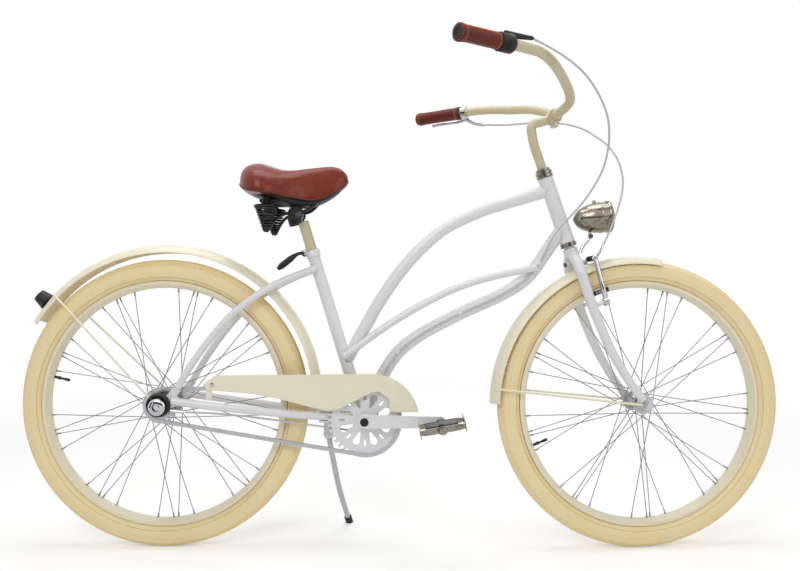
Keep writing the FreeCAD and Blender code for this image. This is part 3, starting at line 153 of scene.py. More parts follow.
class Nodes:
    """A node tree that is written row by row."""

    def __init__(self, tree):
        self.tree = tree

    def add(self, kind, **settings):
        """A new node with its settings."""
        made = self.tree.nodes.new(kind)
        for name, value in settings.items():
            setattr(made, name, value)
        return made

    def link(self, source, target):
        self.tree.links.new(source, target)

    def feed(self, node, values):
        """Sets a node's inputs: a socket is linked and anything else is its value."""
        for name, value in values.items():
            if isinstance(value, bpy.types.NodeSocket):
                self.link(value, node.inputs[name])
            else:
                node.inputs[name].default_value = value
        return node

    def math(self, operation, first, second):
        node = self.add("ShaderNodeMath", operation=operation)
        self.feed(node, {0: first, 1: second})
        return node.outputs[0]

    def noise(self, vector, scale, detail=2.0, roughness=0.5):
        node = self.add("ShaderNodeTexNoise")
        self.feed(node, {"Vector": vector, "Scale": scale, "Detail": detail,
                         "Roughness": roughness})
        return node.outputs["Fac"]

    def voronoi(self, vector, scale):
        node = self.add("ShaderNodeTexVoronoi", feature="SMOOTH_F1")
        self.feed(node, {"Vector": vector, "Scale": scale})
        return node.outputs["Distance"]

    def span(self, value, low, high, to_low=0.0, to_high=1.0, smooth=False):
        node = self.add("ShaderNodeMapRange")
        if smooth:
            node.interpolation_type = "SMOOTHSTEP"
        self.feed(node, {"Value": value, "From Min": low, "From Max": high,
                         "To Min": to_low, "To Max": to_high})
        return node.outputs["Result"]

    def mix(self, share, first, second):
        node = self.add("ShaderNodeMix", data_type="RGBA")
        self.feed(node, {0: share, 6: first, 7: second})
        return node.outputs[2]

    def bump(self, height, distance):
        node = self.add("ShaderNodeBump")
        self.feed(node, {"Height": height, "Distance": distance, "Strength": 0.5})
        return node.outputs["Normal"]


SOCKETS = {"Vector": "NodeSocketVector", "Colour": "NodeSocketColor",
           "Second": "NodeSocketColor"}


def plain_material(name):
    """A new material and its node tree."""
    made = bpy.data.materials.new(name)
    made.use_nodes = True
    return made, Nodes(made.node_tree)


def effect(name, *numbers):
    """A node group that turns a place, two colours and the named numbers into a look."""
    tree = bpy.data.node_groups.new(name, "ShaderNodeTree")
    for way, labels in (("INPUT", ("Vector", "Colour", "Second") + numbers),
                        ("OUTPUT", ("Colour", "Roughness", "Height"))):
        for label in labels:
            tree.interface.new_socket(label, in_out=way,
                                      socket_type=SOCKETS.get(label, "NodeSocketFloat"))
    inside = Nodes(tree)
    return tree, inside, inside.add("NodeGroupInput").outputs, inside.add("NodeGroupOutput")


def sprayed_paint_effect():
    """Sprayed enamel: faint cloudiness, handling marks in the gloss and orange peel."""
    tree, inside, source, result = effect("sprayed_paint", "Gloss")
    clouds = inside.noise(source["Vector"], 9.0, 3.0)
    share = inside.span(clouds, 0.35, 0.7, 0.0, 0.25)
    marks = inside.span(inside.noise(source["Vector"], 22.0, 3.0, 0.55), 0.4, 0.75, 0.0, 0.06)
    inside.feed(result, {"Colour": inside.mix(share, source["Colour"], source["Second"]),
                         "Roughness": inside.math("ADD", source["Gloss"], marks),
                         "Height": inside.noise(source["Vector"], 180.0, 1.0)})
    return tree


def metal_wear_and_painted_reflection_effect():
    """Polished or drawn metal: smears in the gloss, fine grain and dull spots of the second colour.
    On the chrome that is darkened to brown, these spots are painted dark reflections.
    """
    tree, inside, source, result = effect("metal_wear_and_painted_reflection", "Gloss", "Wear_and_painted_reflection")
    # Spots of the second colour: dull spots on worn metal, and painted dark reflections on the
    # darkened chrome
    dull_spots_and_painted_reflections = inside.span(inside.noise(source["Vector"], 60.0, 5.0, 0.7), 0.5, 0.8)
    share = inside.math("MULTIPLY", dull_spots_and_painted_reflections, source["Wear_and_painted_reflection"])
    smears = inside.math("MULTIPLY", inside.noise(source["Vector"], 25.0, 3.0), source["Wear_and_painted_reflection"])
    dulled = inside.math("ADD", source["Gloss"], inside.math("MULTIPLY", smears, 0.35))
    inside.feed(result, {"Colour": inside.mix(share, source["Colour"], source["Second"]),
                         "Roughness": dulled,
                         "Height": inside.noise(source["Vector"], 900.0, 2.0)})
    return tree


def leather_effect():
    """Smooth leather: pebbled pores, soft creases and a darker tone in the hollows."""
    tree, inside, source, result = effect("leather_grain", "Grain")
    pebble = inside.voronoi(source["Vector"], source["Grain"])
    crease = inside.noise(source["Vector"], 70.0, 6.0, 0.6)
    tone = inside.math("ADD", inside.math("MULTIPLY", pebble, 0.45),
                       inside.math("MULTIPLY", crease, 0.7))
    share = inside.span(tone, 0.35, 0.85)
    inside.feed(result, {"Colour": inside.mix(share, source["Colour"], source["Second"]),
                         "Roughness": inside.span(tone, 0.2, 0.9, 0.32, 0.52),
                         "Height": inside.math("MULTIPLY", tone, -1.0)})
    return tree


def rubber_effect():
    """Moulded rubber: matt, with a faint bloom and fine skin."""
    tree, inside, source, result = effect("moulded_rubber", "Gloss")
    bloom = inside.span(inside.noise(source["Vector"], 14.0, 4.0, 0.6), 0.35, 0.75, 0.0, 0.6)
    dulled = inside.math("ADD", source["Gloss"], inside.math("MULTIPLY", bloom, 0.2))
    inside.feed(result, {"Colour": inside.mix(bloom, source["Colour"], source["Second"]),
                         "Roughness": dulled,
                         "Height": inside.noise(source["Vector"], 1400.0, 2.0)})
    return tree


SPRAYED_PAINT = sprayed_paint_effect()
METAL_WEAR_AND_PAINTED_REFLECTION = metal_wear_and_painted_reflection_effect()
LEATHER_GRAIN = leather_effect()
MOULDED_RUBBER = rubber_effect()

# The surface that each slot's plain nodes wear, by slot
FINISHES = {}


def surface(name, slot, group, colours, numbers, bump, shader_values=None, round_by=None):
    """A material whose colour, roughness and bump come from one effect.

    colours: the effect's two, as they look on a screen, or linear if they have four parts.
    bump and round_by are in metres: the relief's height, and how far edges are eased.
    """
    made, tree = plain_material(name)
    shader = made.node_tree.nodes["Principled BSDF"]
    place = tree.add("ShaderNodeTexCoord").outputs["Object"]
    look = tree.add("ShaderNodeGroup", node_tree=group)
    first, second = (colour if len(colour) == 4 else paint(*colour) for colour in colours)
    tree.feed(look, dict(numbers, Colour=first, Second=second, Vector=place))
    tree.link(look.outputs["Colour"], shader.inputs["Base Color"])
    tree.link(look.outputs["Roughness"], shader.inputs["Roughness"])
    relief = tree.bump(look.outputs["Height"], bump)
    tree.link(relief, shader.inputs["Normal"])
    if round_by is not None:
        eased = tree.add("ShaderNodeBevel", samples=6)
        eased.inputs["Radius"].default_value = round_by
        tree.link(eased.outputs["Normal"], relief.node.inputs["Normal"])
    for socket, value in (shader_values or {}).items():
        shader.inputs[socket].default_value = value
    FINISHES.setdefault(slot, made)
    return made


SLIGHT = 0.000004
EASED = 0.0025
SATIN_COAT = {"Coat Weight": 0.35, "Coat Roughness": 0.22}
METAL = {"Metallic": 1.0}
DULL = {"Specular IOR Level": 0.35}

pearl_white = surface("pearl_white", "frame_paint", SPRAYED_PAINT, (
    (233, 233, 235), (226, 227, 230)), {"Gloss": 0.4}, SLIGHT, SATIN_COAT, EASED)
surface("cream_enamel", "cream_paint", SPRAYED_PAINT, (
    (246, 238, 212), (242, 232, 202)), {"Gloss": 0.38}, SLIGHT, SATIN_COAT, EASED)
beige_enamel = surface("beige_enamel", "bar_paint", SPRAYED_PAINT, (
    (212, 199, 163), (202, 188, 152)), {"Gloss": 0.38}, SLIGHT, SATIN_COAT, EASED)
surface("rim_enamel", "cream_rim", SPRAYED_PAINT, (
    (242, 232, 204), (236, 224, 192)), {"Gloss": 0.34},
    SLIGHT, {"Coat Weight": 0.3, "Coat Roughness": 0.1})
cream_tyre = surface("cream_tyre", "cream_rubber", MOULDED_RUBBER, (
    (247, 225, 172), (251, 234, 192)), {"Gloss": 0.6}, 0.00006)
drawn_steel = surface("drawn_steel", "spoke_steel", METAL_WEAR_AND_PAINTED_REFLECTION, (
    (150, 150, 152), (90, 90, 92)), {"Gloss": 0.3, "Wear_and_painted_reflection": 0.5}, 0.00001, {"Metallic": 0.9})
chrome = surface("chrome", "polished_metal", METAL_WEAR_AND_PAINTED_REFLECTION, (
    (196, 196, 200), (150, 150, 154)), {"Gloss": 0.06, "Wear_and_painted_reflection": 0.15}, SLIGHT, METAL)
alloy = surface("alloy", "polished_metal", METAL_WEAR_AND_PAINTED_REFLECTION, (
    (190, 191, 194), (140, 140, 146)), {"Gloss": 0.26, "Wear_and_painted_reflection": 0.4}, 0.00001, METAL)
brown_leather = surface("brown_leather", "saddle_leather", LEATHER_GRAIN, (
    (134, 45, 20), (98, 28, 11)), {"Grain": 620.0},
    0.00015, {"Coat Weight": 0.3, "Coat Roughness": 0.14, "Specular IOR Level": 0.2})
black_paint = surface("black_paint", "black_metal", SPRAYED_PAINT, (
    (26, 26, 28), (20, 20, 22)), {"Gloss": 0.34}, SLIGHT, DULL)
black_plastic = surface("black_plastic", "black_plastic", MOULDED_RUBBER, (
    (26, 26, 28), (38, 38, 40)), {"Gloss": 0.42}, 0.00003, DULL)
black_rubber = surface("black_rubber", "black_rubber", MOULDED_RUBBER, (
    (26, 26, 26), (40, 40, 40)), {"Gloss": 0.6}, 0.0001)
surface("clear_glass", "lamp_glass", METAL_WEAR_AND_PAINTED_REFLECTION, (
    (0.95, 0.96, 0.97, 1.0), (0.9, 0.92, 0.93, 1.0)), {"Gloss": 0.03, "Wear_and_painted_reflection": 0.05},
    0.000002, {"Metallic": 0.0, "Transmission Weight": 1.0, "IOR": 1.47})
gold_rubber = surface("gold_rubber", "cream_rubber", MOULDED_RUBBER, (
    (196, 158, 92), (206, 172, 110)), {"Gloss": 0.5}, 0.00003)
dark_leather = surface("dark_leather", "saddle_leather", LEATHER_GRAIN, (
    (74, 30, 22), (52, 22, 16)), {"Grain": 620.0}, 0.0002)
grip_leather = surface("grip_leather", "saddle_leather", LEATHER_GRAIN, (
    (112, 40, 26), (78, 24, 16)), {"Grain": 700.0}, 0.0002, {"Specular IOR Level": 0.3})
orange_thread = surface("orange_thread", "saddle_leather", MOULDED_RUBBER, (
    (206, 108, 44), (220, 130, 66)), {"Gloss": 0.6}, 0.0001)
dark_steel = surface("dark_steel", "polished_metal", METAL_WEAR_AND_PAINTED_REFLECTION, (
    (96, 96, 100), (60, 60, 62)), {"Gloss": 0.25, "Wear_and_painted_reflection": 0.4}, 0.00001, METAL)
# Chrome darkened to brown and dappled dark brown over most of it: these colours are painted dark
# reflections of the surroundings, not the metal's own colour
chrome_painted_dark_reflections = surface("chrome_painted_dark_reflections", "polished_metal", METAL_WEAR_AND_PAINTED_REFLECTION, (
    (150, 142, 130), (44, 34, 26)), {"Gloss": 0.03, "Wear_and_painted_reflection": 0.9}, SLIGHT, METAL)
cable_sheath = surface("cable_sheath", "black_plastic", MOULDED_RUBBER, (
    (198, 198, 200), (210, 210, 212)), {"Gloss": 0.32}, 0.00002)
red_lens = surface("red_lens", "lamp_glass", METAL_WEAR_AND_PAINTED_REFLECTION, (
    (130, 16, 18), (96, 12, 14)), {"Gloss": 0.12, "Wear_and_painted_reflection": 0.1},
    SLIGHT, {"Transmission Weight": 0.3, "IOR": 1.49})
frosted_glass = surface("frosted_glass", "lamp_glass", METAL_WEAR_AND_PAINTED_REFLECTION, (
    (0.9, 0.9, 0.88, 1.0), (0.8, 0.8, 0.78, 1.0)), {"Gloss": 0.3, "Wear_and_painted_reflection": 0.1},
    0.000002, {"Metallic": 0.0, "Transmission Weight": 0.6, "IOR": 1.47})


def give(piece, finish):
    """Puts one finish on a piece in place of any that it has."""
    piece.data.materials.clear()
    piece.data.materials.append(finish)


for part in record["subparts"]:
    give(nodes[part["node"]], FINISHES[part["material_slot"]])
# The headlamp shell wears the chrome with painted dark reflections
give(nodes["headlamp_shell"], chrome_painted_dark_reflections)
for name in ("chain", "rear_sprocket", "rear_hub", "front_hub", "stand_leg"):
    give(nodes[name], alloy)


# Mesh helpers

def facing(centre, axis, ahead=None):
    """The matrix that stands +Z along an axis, at a centre, with +X near a given way."""
    up = Vector(axis).normalized()
    side = Vector(ahead) if ahead is not None else (AHEAD if abs(up.x) < 0.9 else UP)
    across = (side - up * side.dot(up)).normalized()
    return (Matrix.Translation(centre)
            @ Matrix((across, up.cross(across), up)).transposed().to_4x4())


def turned(profile, steps=48):
    """A profile of (radius, along) spun about +Z."""
    part = bmesh.new()
    row = [part.verts.new((radius, 0.0, along)) for radius, along in profile]
    edges = [part.edges.new(pair) for pair in zip(row, row[1:])]
    bmesh.ops.spin(part, geom=row + edges, cent=(0, 0, 0), axis=(0, 0, 1),
                   angle=2 * math.pi, steps=steps, use_merge=True)
    return part


# The bevel at a rod's ends, in mm
EDGE = 0.5


def rod(radius, length, end_radius=None, sides=24):
    """A round bar from the origin along +Z, with its ends' edges broken."""
    end = end_radius or radius
    return turned(((0, 0), (radius - EDGE, 0.0), (radius, EDGE), (end, length - EDGE),
                   (end - EDGE, length), (0.0, length)), sides)


def eased_edges(part, edges, offset, segments=1):
    """Bevels some of a shape's edges."""
    bmesh.ops.bevel(part, geom=edges, offset=offset, segments=segments, profile=0.5,
                    affect="EDGES", material=-1)
    return part


def hexagon(radius, depth):
    """A hexagon head along +Z."""
    part = bmesh.new()
    bmesh.ops.create_cone(part, cap_ends=True, segments=6, radius1=radius, radius2=radius,
                          depth=depth)
    bmesh.ops.translate(part, verts=part.verts, vec=(0.0, 0.0, depth / 2))
    top = [e for e in part.edges if all(v.co.z > depth - 0.01 for v in e.verts)]
    return eased_edges(part, top, 0.6)


def block(length, width, height, edge=1, segments=2):
    """A block about the origin with rounded edges."""
    part = bmesh.new()
    bmesh.ops.create_cube(part, size=1.0)
    bmesh.ops.scale(part, verts=part.verts, vec=(length, width, height))
    return eased_edges(part, part.edges[:], edge, segments)


def pressed(outline, thickness, edge=0.4):
    """A flat plate: an outline in the XY plane, thickened along +Z, edges broken."""
    part = bmesh.new()
    face = part.faces.new([part.verts.new((x, y, 0.0)) for x, y in outline])
    grown = bmesh.ops.extrude_face_region(part, geom=[face])
    verts = [v for v in grown["geom"] if isinstance(v, bmesh.types.BMVert)]
    bmesh.ops.translate(part, verts=verts, vec=(0.0, 0.0, thickness))
    bmesh.ops.recalc_face_normals(part, faces=part.faces)
    rims = [e for e in part.edges if len(e.link_faces) == 2 and e.calc_face_angle() > 1.2
            and abs(e.verts[0].co.z - e.verts[1].co.z) < 0.01]
    return eased_edges(part, rims, edge)


def swept(points, radius, sides=4, steps=5, closed=False, radii=None):
    """A round wire along a smooth curve that bends round points. radii: shares of its radius."""
    curve = bpy.data.curves.new("wire", "CURVE")
    curve.dimensions = "3D"
    curve.bevel_depth = radius
    curve.bevel_resolution = sides
    curve.use_fill_caps = not closed
    line = curve.splines.new("NURBS")
    line.points.add(len(points) - 1)
    for place, point in zip(line.points, points):
        place.co = (*point, 1.0)
    line.order_u = 3
    line.use_endpoint_u = not closed
    line.use_cyclic_u = closed
    line.resolution_u = steps
    for place, share in zip(line.points, radii or ()):
        place.radius = share
    holder = bpy.data.objects.new("wire", curve)
    mesh = bpy.data.meshes.new_from_object(holder)
    part = bmesh.new()
    part.from_mesh(mesh)
    bpy.data.objects.remove(holder)
    bpy.data.curves.remove(curve)
    bpy.data.meshes.remove(mesh)
    return part


def place_of(body):
    """Where a body's upright millimetres stand on the parked bicycle."""
    return STEERED if body in ("steering", "front_wheel") else PARKED


class Piece:
    """Shapes gathered in upright millimetres into one named mesh."""

    def __init__(self, name):
        self.name = name
        self.shape = bmesh.new()

    def add(self, part, place=None):
        """Joins a shape to the piece, moved to its place."""
        bmesh.ops.remove_doubles(part, verts=part.verts, dist=0.001)
        bmesh.ops.recalc_face_normals(part, faces=part.faces)
        if place is not None:
            part.transform(place)
        loose = meshed("loose", part)
        self.shape.from_mesh(loose)
        bpy.data.meshes.remove(loose)
        return self

    def finish(self, finish, body, replaced=(), soft_angle=35, slot=None):
        """Puts the piece in its place, gives it its finish and says what it rides on."""
        self.shape.transform(place_of(body))
        mesh = meshed(self.name, self.shape)
        mesh.shade_smooth()
        mesh.set_sharp_from_angle(angle=math.radians(soft_angle))
        made = linked(self.name, mesh)
        mesh.materials.append(finish)
        if body is not None:
            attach(made, body)
        if replaced:
            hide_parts(*replaced)
        return made


def detail(name, finish, body, shapes, replaced=(), soft_angle=35, slot=None):
    """A piece of several shapes, each given with its centre, its axis and its way ahead."""
    piece = Piece(name)
    for shape, *stance in shapes:
        piece.add(shape, facing(*stance) if stance else None)
    return piece.finish(finish, body, replaced, soft_angle, slot)


def upright(joint):
    """A joint's point in upright millimetres."""
    return PARKED.inverted() @ Vector(joints[joint]["pos_m"])


# Tyres

SIPE_STEPS = 560
SIPE_DEPTH = 1.3
BEAD_ANGLE = 118.0
BEAD_LINE = 0.55
# angle round the section from the tread's middle, how far it stands from the round form
TYRE_SKIN = ((0, 0), (16, 0), (30, -0.1), (38, -0.2), (41, -1), (44, -1), (46, -0.2), (60, -0.1),
             (62, -0.9), (74, -0.6), (92, -0.3), (106, -0.2), (114, -0.1), (116, 0.4), (120, 0.4),
             (122, -0.2), (134, -0.2), (146, -0.4), (154, -1))


def tyre(name, centre, body):
    """A balloon tyre: its tread, a shoulder cut by short grooves, a ribbed side and its bead."""
    middle = WHEEL_RADIUS - TYRE_SECTION
    skin = [(-a, off) for a, off in TYRE_SKIN[:0:-1]] + list(TYRE_SKIN)
    profile = []
    for degrees, proud in skin:
        a = math.radians(degrees)
        reach = TYRE_SECTION + proud
        profile.append((middle + reach * math.cos(a), reach * math.sin(a)))
    part = turned(profile, SIPE_STEPS)
    shoulders = []
    for face in part.faces:
        spot = face.calc_center_median()
        across = math.degrees(math.atan2(abs(spot.z), math.hypot(spot.x, spot.y) - middle))
        turn = math.degrees(math.atan2(spot.y, spot.x)) % 360.0
        if 46.0 < across < 60.0 and int(turn * SIPE_STEPS / 360.0) % 2:
            shoulders.append(face)
    bmesh.ops.inset_individual(part, faces=shoulders, thickness=0.7, depth=-SIPE_DEPTH,
                               use_even_offset=True)
    piece = Piece(name).add(part, facing(centre, LEFT))
    return piece.finish(cream_tyre, body, (body[:-5] + "tyre",), 40.0)


tyre("tyre_skin_front", FRONT_AXLE, "front_wheel")
tyre("tyre_skin_rear", REAR_AXLE, "rear_wheel")


def bead_line(name, centre, body):
    """The thin gold lines moulded round each side of the tyre, beside the rim."""
    piece = Piece(name)
    reach = TYRE_SECTION + 0.1
    a = math.radians(BEAD_ANGLE)
    for side in (-1, 1):
        ring = turned([(WHEEL_RADIUS - TYRE_SECTION + reach * math.cos(a)
                        + BEAD_LINE * math.cos(math.radians(k * 60)),
                        side * reach * math.sin(a) + BEAD_LINE * math.sin(math.radians(k * 60)))
                       for k in range(7)], 180)
        piece.add(ring, facing(centre, LEFT))
    piece.finish(gold_rubber, body)


bead_line("bead_line_front", FRONT_AXLE, "front_wheel")
bead_line("bead_line_rear", REAR_AXLE, "rear_wheel")


# Nipples and valves

RIM_FLOOR = 268.4
VALVE_FOOT = 231.5
SPOKES_PER_SIDE = 18
CROSSINGS = 3


def nipples(name, centre, flange_radius, flange_offset, body):
    """A nipple where each spoke meets the rim, in line with its spoke."""
    piece = Piece(name)
    pair = 360.0 / SPOKES_PER_SIDE
    for side in (-1, 1):
        offset = 0.0 if side < 0 else pair / 2
        for k in range(SPOKES_PER_SIDE):
            way = 1 if k % 2 else -1
            hole = math.radians(offset + pair * k)
            spot = hole + math.radians(way * CROSSINGS * pair * 0.9)
            # x and z as the wheel turns about +Y
            start = Vector((flange_radius * math.cos(hole), side * flange_offset,
                            flange_radius * math.sin(hole)))
            end = Vector((RIM_FLOOR * math.cos(spot), side * 2.0, RIM_FLOOR * math.sin(spot)))
            back = (start - end).normalized()
            piece.add(turned(((0, 0), (2.6, 0), (2.6, 2), (1.9, 3), (1.9, 10), (1.2, 11),
                              (0, 11)), 8), facing(centre + end, back))
    piece.finish(drawn_steel, body, soft_angle=50)


nipples("nipples_front", FRONT_AXLE, 19.0, 33.0, "front_wheel")
nipples("nipples_rear", REAR_AXLE, 30.0, 28.0, "rear_wheel")


def valve(name, centre, angle, body):
    """A valve stem with its collar and its cap."""
    a = math.radians(angle)
    out = Vector((math.cos(a), 0.0, math.sin(a)))
    detail(name, black_rubber, body, ((turned((
        (0, 0), (2.4, 0), (3.4, 1), (3.4, 11), (2.6, 12), (2.6, 22), (4.2, 22.5), (4.2, 25.5),
        (3.2, 26), (3.2, 37), (0, 37)), 20), centre + out * VALVE_FOOT, out),))


valve("valve_front", FRONT_AXLE, 201.0, "front_wheel")
valve("valve_rear", REAR_AXLE, 167.0, "rear_wheel")


# Saddle

# ahead, half width, top, edge: the leather over its base
SADDLE_ROWS = ((177, 24, 858, 847), (181, 54, 874, 836), (192, 82, 884, 826), (208, 100, 889, 820),
               (230, 108, 889, 817), (250, 102, 883, 815), (268, 88, 876.5, 813),
               (287, 69, 875.5, 810), (310, 53, 878, 807), (335, 42, 882, 803),
               (362, 34, 885, 806), (388, 27, 887, 818), (406, 20, 882.5, 831),
               (418, 13, 872, 843), (425, 5, 861, 850))
# ahead, half width, top, bottom: the moulded base under the leather
BASE_ROWS = ((184, 46, 844, 838), (192, 66, 840, 824), (206, 80, 836, 813), (232, 84, 832, 803),
             (272, 66, 826, 792), (310, 46, 812, 786), (342, 37, 806, 788), (364, 31, 810, 797),
             (393, 23, 824, 813), (414, 13, 842, 831))
RING_POINTS = 36


def lofted(rows, form):
    """Rings on sections across the bicycle, bridged from one to the next and closed."""
    part = bmesh.new()
    loops = []
    for row in rows:
        ring = bmesh.ops.create_circle(part, segments=RING_POINTS, radius=1.0)["verts"]
        for vert in ring:
            vert.co = form(row, vert.co.x, vert.co.y)
        loops.append(list({edge for vert in ring for edge in vert.link_edges}))
    for first, second in zip(loops, loops[1:]):
        bmesh.ops.bridge_loops(part, edges=first + second)
    for ends in (loops[0], loops[-1]):
        bmesh.ops.contextual_create(part, geom=ends)
    return part


def saddle_form(row, side, up):
    """A section of the leather: a crowned top, sides that pull in, and a flat underside."""
    ahead, half, top, edge = row
    crest = 1.0 + 0.04 * math.cos(side * math.pi) * (1.0 if half > 70 else 0.0)
    if up >= 0.0:
        return Vector((ahead, half * math.copysign(abs(side) ** 0.8, side),
                       edge + (top - edge) * up ** 0.82 * (crest - 0.02)))
    return Vector((ahead, half * side * (1.0 + 0.05 * up), edge + 7.0 * up))


def base_form(row, side, up):
    """A section of the base: a flattened oval."""
    ahead, half, top, bottom = row
    middle = (top + bottom) / 2
    return Vector((ahead, half * math.copysign(abs(side) ** 0.7, side),
                   middle + (top - bottom) / 2 * up))


def softened(made, levels=1):
    """Subdivides a finished piece where its form is soft."""
    soft = made.modifiers.new("soft", "SUBSURF")
    soft.levels = levels
    soft.render_levels = levels
    return made


leather = Piece("saddle_leather_top").add(lofted(SADDLE_ROWS, saddle_form))
saddle = leather.finish(brown_leather, "frame", ("saddle_cover",), 180)
softened(saddle, 2)
base = Piece("saddle_base_shell").add(lofted(BASE_ROWS, base_form))
softened(base.finish(black_plastic, "frame", ("saddle_base",), 180), 1)


def saddle_piping():
    """The leather's lower hem, a rolled edge all round."""
    hem = Piece("saddle_hem")
    right = [(ahead, -half * 0.995, edge - 1.0) for ahead, half, top, edge in SADDLE_ROWS]
    ring = right + [(x, -y, z) for x, y, z in right[::-1]]
    hem.add(swept(ring, 1.5, 3, 4, closed=True))
    hem.finish(dark_leather, "frame", soft_angle=60)


saddle_piping()

# Saddle frame: rails, clamp and springs

SPRING_FOOT = Vector((243, 62, 733))
SPRING_HEIGHT = 52.0
SPRING_TURNS = 8.5
SPRING_RADII = (6.5, 25)
CLAMP = Vector((305, 0, 772))
CLAMP_TEETH = 36
# ahead, side, up
RAIL = ((360, 20, 805), (347, 24, 792), (333, 26, 780), (310, 27, 776), (290, 30, 774),
        (272, 42, 768), (258, 54, 752), (249, 61, 735), (243, 62, 729))


def spring(side):
    """A tight conical coil: narrow at its foot and wide under the saddle."""
    count = int(SPRING_TURNS * 12)
    rows = []
    for k in range(count + 1):
        share = k / count
        angle = share * SPRING_TURNS * 2 * math.pi
        radius = SPRING_RADII[0] + (SPRING_RADII[1] - SPRING_RADII[0]) * share
        rows.append((SPRING_FOOT.x + radius * math.cos(angle),
                     side * SPRING_FOOT.y + radius * math.sin(angle),
                     SPRING_FOOT.z + SPRING_HEIGHT * share))
    return swept(rows, 2.7, 2, 2)


def saddle_frame():
    """The saddle's springs, rails, bridge, toothed clamp and the bolt through it."""
    piece = Piece("saddle_undercarriage")
    for side in (-1, 1):
        foot = Vector((SPRING_FOOT.x, side * SPRING_FOOT.y, SPRING_FOOT.z))
        piece.add(spring(side))
        piece.add(swept([(x, side * y, z) for x, y, z in RAIL], 3.7, 4, 6))
        piece.add(turned(((0, -5), (5, -5), (7.5, -2), (7.5, 3), (0, 6)), 24),
                  facing(foot, UP))
        cap = turned(((0, 0), (27, 0), (28, 1), (28, 4), (25, 6), (12, 8), (9, 14), (9, 30),
                      (0, 30)), 32)
        piece.add(cap, facing(foot + UP * (SPRING_HEIGHT - 1.0), UP))
        piece.add(block(46, 12, 7), facing(foot + Vector((8, -side * 4, 66)), UP))
    piece.add(swept([(236, y, 797) for y in (-62, -30, 0, 30, 62)], 5.0, 3, 3))
    for side in (-1, 1):
        cheek = bmesh.new()
        ring = bmesh.ops.create_circle(cheek, segments=CLAMP_TEETH * 2, radius=1.0,
                                       cap_ends=True)["verts"]
        for k, vert in enumerate(ring):
            vert.co *= 18.5 if (k // 2) % 2 else 16.8
        grown = bmesh.ops.extrude_face_region(cheek, geom=cheek.faces[:])
        verts = [v for v in grown["geom"] if isinstance(v, bmesh.types.BMVert)]
        bmesh.ops.translate(cheek, verts=verts, vec=(0, 0, 11))
        piece.add(cheek, facing(CLAMP + LEFT * (side * 26.0 - 5.5), LEFT))
    piece.add(rod(15, 44), facing(CLAMP - LEFT * 22, LEFT))
    piece.add(block(26, 36, 10, 3, 3), facing(CLAMP + Vector((-4, 0, 9)), UP))
    piece.add(turned(((13.3, -10), (15.8, -10), (16.4, -8.6), (16.4, 8), (13.3, 12)), 32),
              facing(CLAMP + Vector((-4, 0, -14)), (-0.294, 0, 0.956)))
    piece.finish(black_paint, "frame", ("saddle_frame",), 40)
    bolts = Piece("saddle_bolts")
    for side in (-1, 1):
        place = facing(CLAMP + Vector((8, side * 31.5, -2)), LEFT * side)
        bolts.add(turned(((0, 0), (7.5, 0), (7.5, 1.4), (0, 1.4)), 24), place)
        bolts.add(hexagon(5.6, 5), place)
    bolts.finish(dark_steel, "frame")


saddle_frame()


# Grips: leather wrapped and whip-stitched along its top, with black ends

BAR_END = Vector((629, 364, 1074))
BAR_RUN = (Vector((772, 270, 1079)) - BAR_END).normalized()
STITCH = 4.2
SEAM_TURN = 48.0
# the radius of a grip's end, by side
FLARES = {-1: 18.4, 1: 15.4}


def mirrored_point(point, side):
    """A point of the left half as it is, for side 1, or in the right half, for side -1."""
    return Vector((point.x, side * point.y, point.z))


def grip(name, side, length, node):
    """A grip: its leather wrap, its flared end, its black plug and collar, and its stitches."""
    run = mirrored_point(BAR_RUN, side)
    stance = (mirrored_point(BAR_END, side) - run * 4.0, run, UP)
    place = facing(*stance)
    detail(name, grip_leather, "steering", ((turned((
        (12, 3), (15.6, 3), (16.9, 5), (16.9, 12), (16.3, 20), (16.1, length * 0.45),
        (16.6, length * 0.75), (16.2, length - 12.0), (16.9, length - 6.0), (16.2, length - 1.0),
        (15.0, length), (12.0, length)), 48), *stance),), (node,), 60.0)
    flare = FLARES[side]
    detail(name + "_end", grip_leather, "steering", ((turned((
        (10, -1.2), (flare - 2.0, -1.6), (flare - 0.4, -0.6), (flare, 1.0), (flare, 3.5),
        (flare - 1.4, 5.6), (12, 6)), 40), *stance),))
    detail(name + "_plug", black_rubber, "steering", (
        (turned(((0, -0.6), (8, -0.8), (9, -2.2), (12.6, -2.4), (13.6, -1.4),
                 (12, 1)), 36), *stance),
        (turned(((12.0, length - 2.0), (17.4, length - 1.0), (17.4, length + 2.5),
                 (16.0, length + 4.0), (12.0, length + 4.0)), 40), *stance)))
    thread = Piece(name + "_stitches")
    count = int((length - 24.0) / STITCH)
    seam = place @ Matrix.Rotation(math.radians(-side * SEAM_TURN), 4, "Z")
    for k in range(count):
        along = 14.0 + k * STITCH
        slant = ((16.6, -3.2, along), (17.9, 0.0, along + 0.9), (16.6, 3.2, along + 1.8))
        thread.add(swept(slant, 0.8, 1, 2), seam)
    for k in range(24):
        a = math.radians(k * 15)
        loop = [(reach * math.cos(a + t), reach * math.sin(a + t), along)
                for reach, t, along in ((flare - 3.4, -0.05, -1.9), (flare + 0.3, 0.0, 1.6),
                                        (17.2 if side < 0 else 16.4, 0.06, 6.0))]
        thread.add(swept(loop, 0.75, 1, 2), place)
    for along in (9.5, length - 8.0):
        for k in range(22):
            a = math.radians(k * 360 / 22)
            dash = [(16.9 * math.cos(a + t), 16.9 * math.sin(a + t), along + z)
                    for t, z in ((-0.085, -1.6), (0, 0), (0.085, 1.6))]
            thread.add(swept(dash, 0.8, 1, 2), place)
    thread.finish(orange_thread, "steering", soft_angle=60)


grip("grip_wrap_left", 1, 125.0, "grip_left")
grip("grip_wrap_right", -1, 105.0, "grip_right")


# Headlamp: bezel, reflector, bulb and top screw

LAMP_CENTRE = Vector((994, 0, 765))
LAMP_AHEAD = Vector((math.cos(math.radians(5)), 0.0, math.sin(math.radians(5))))


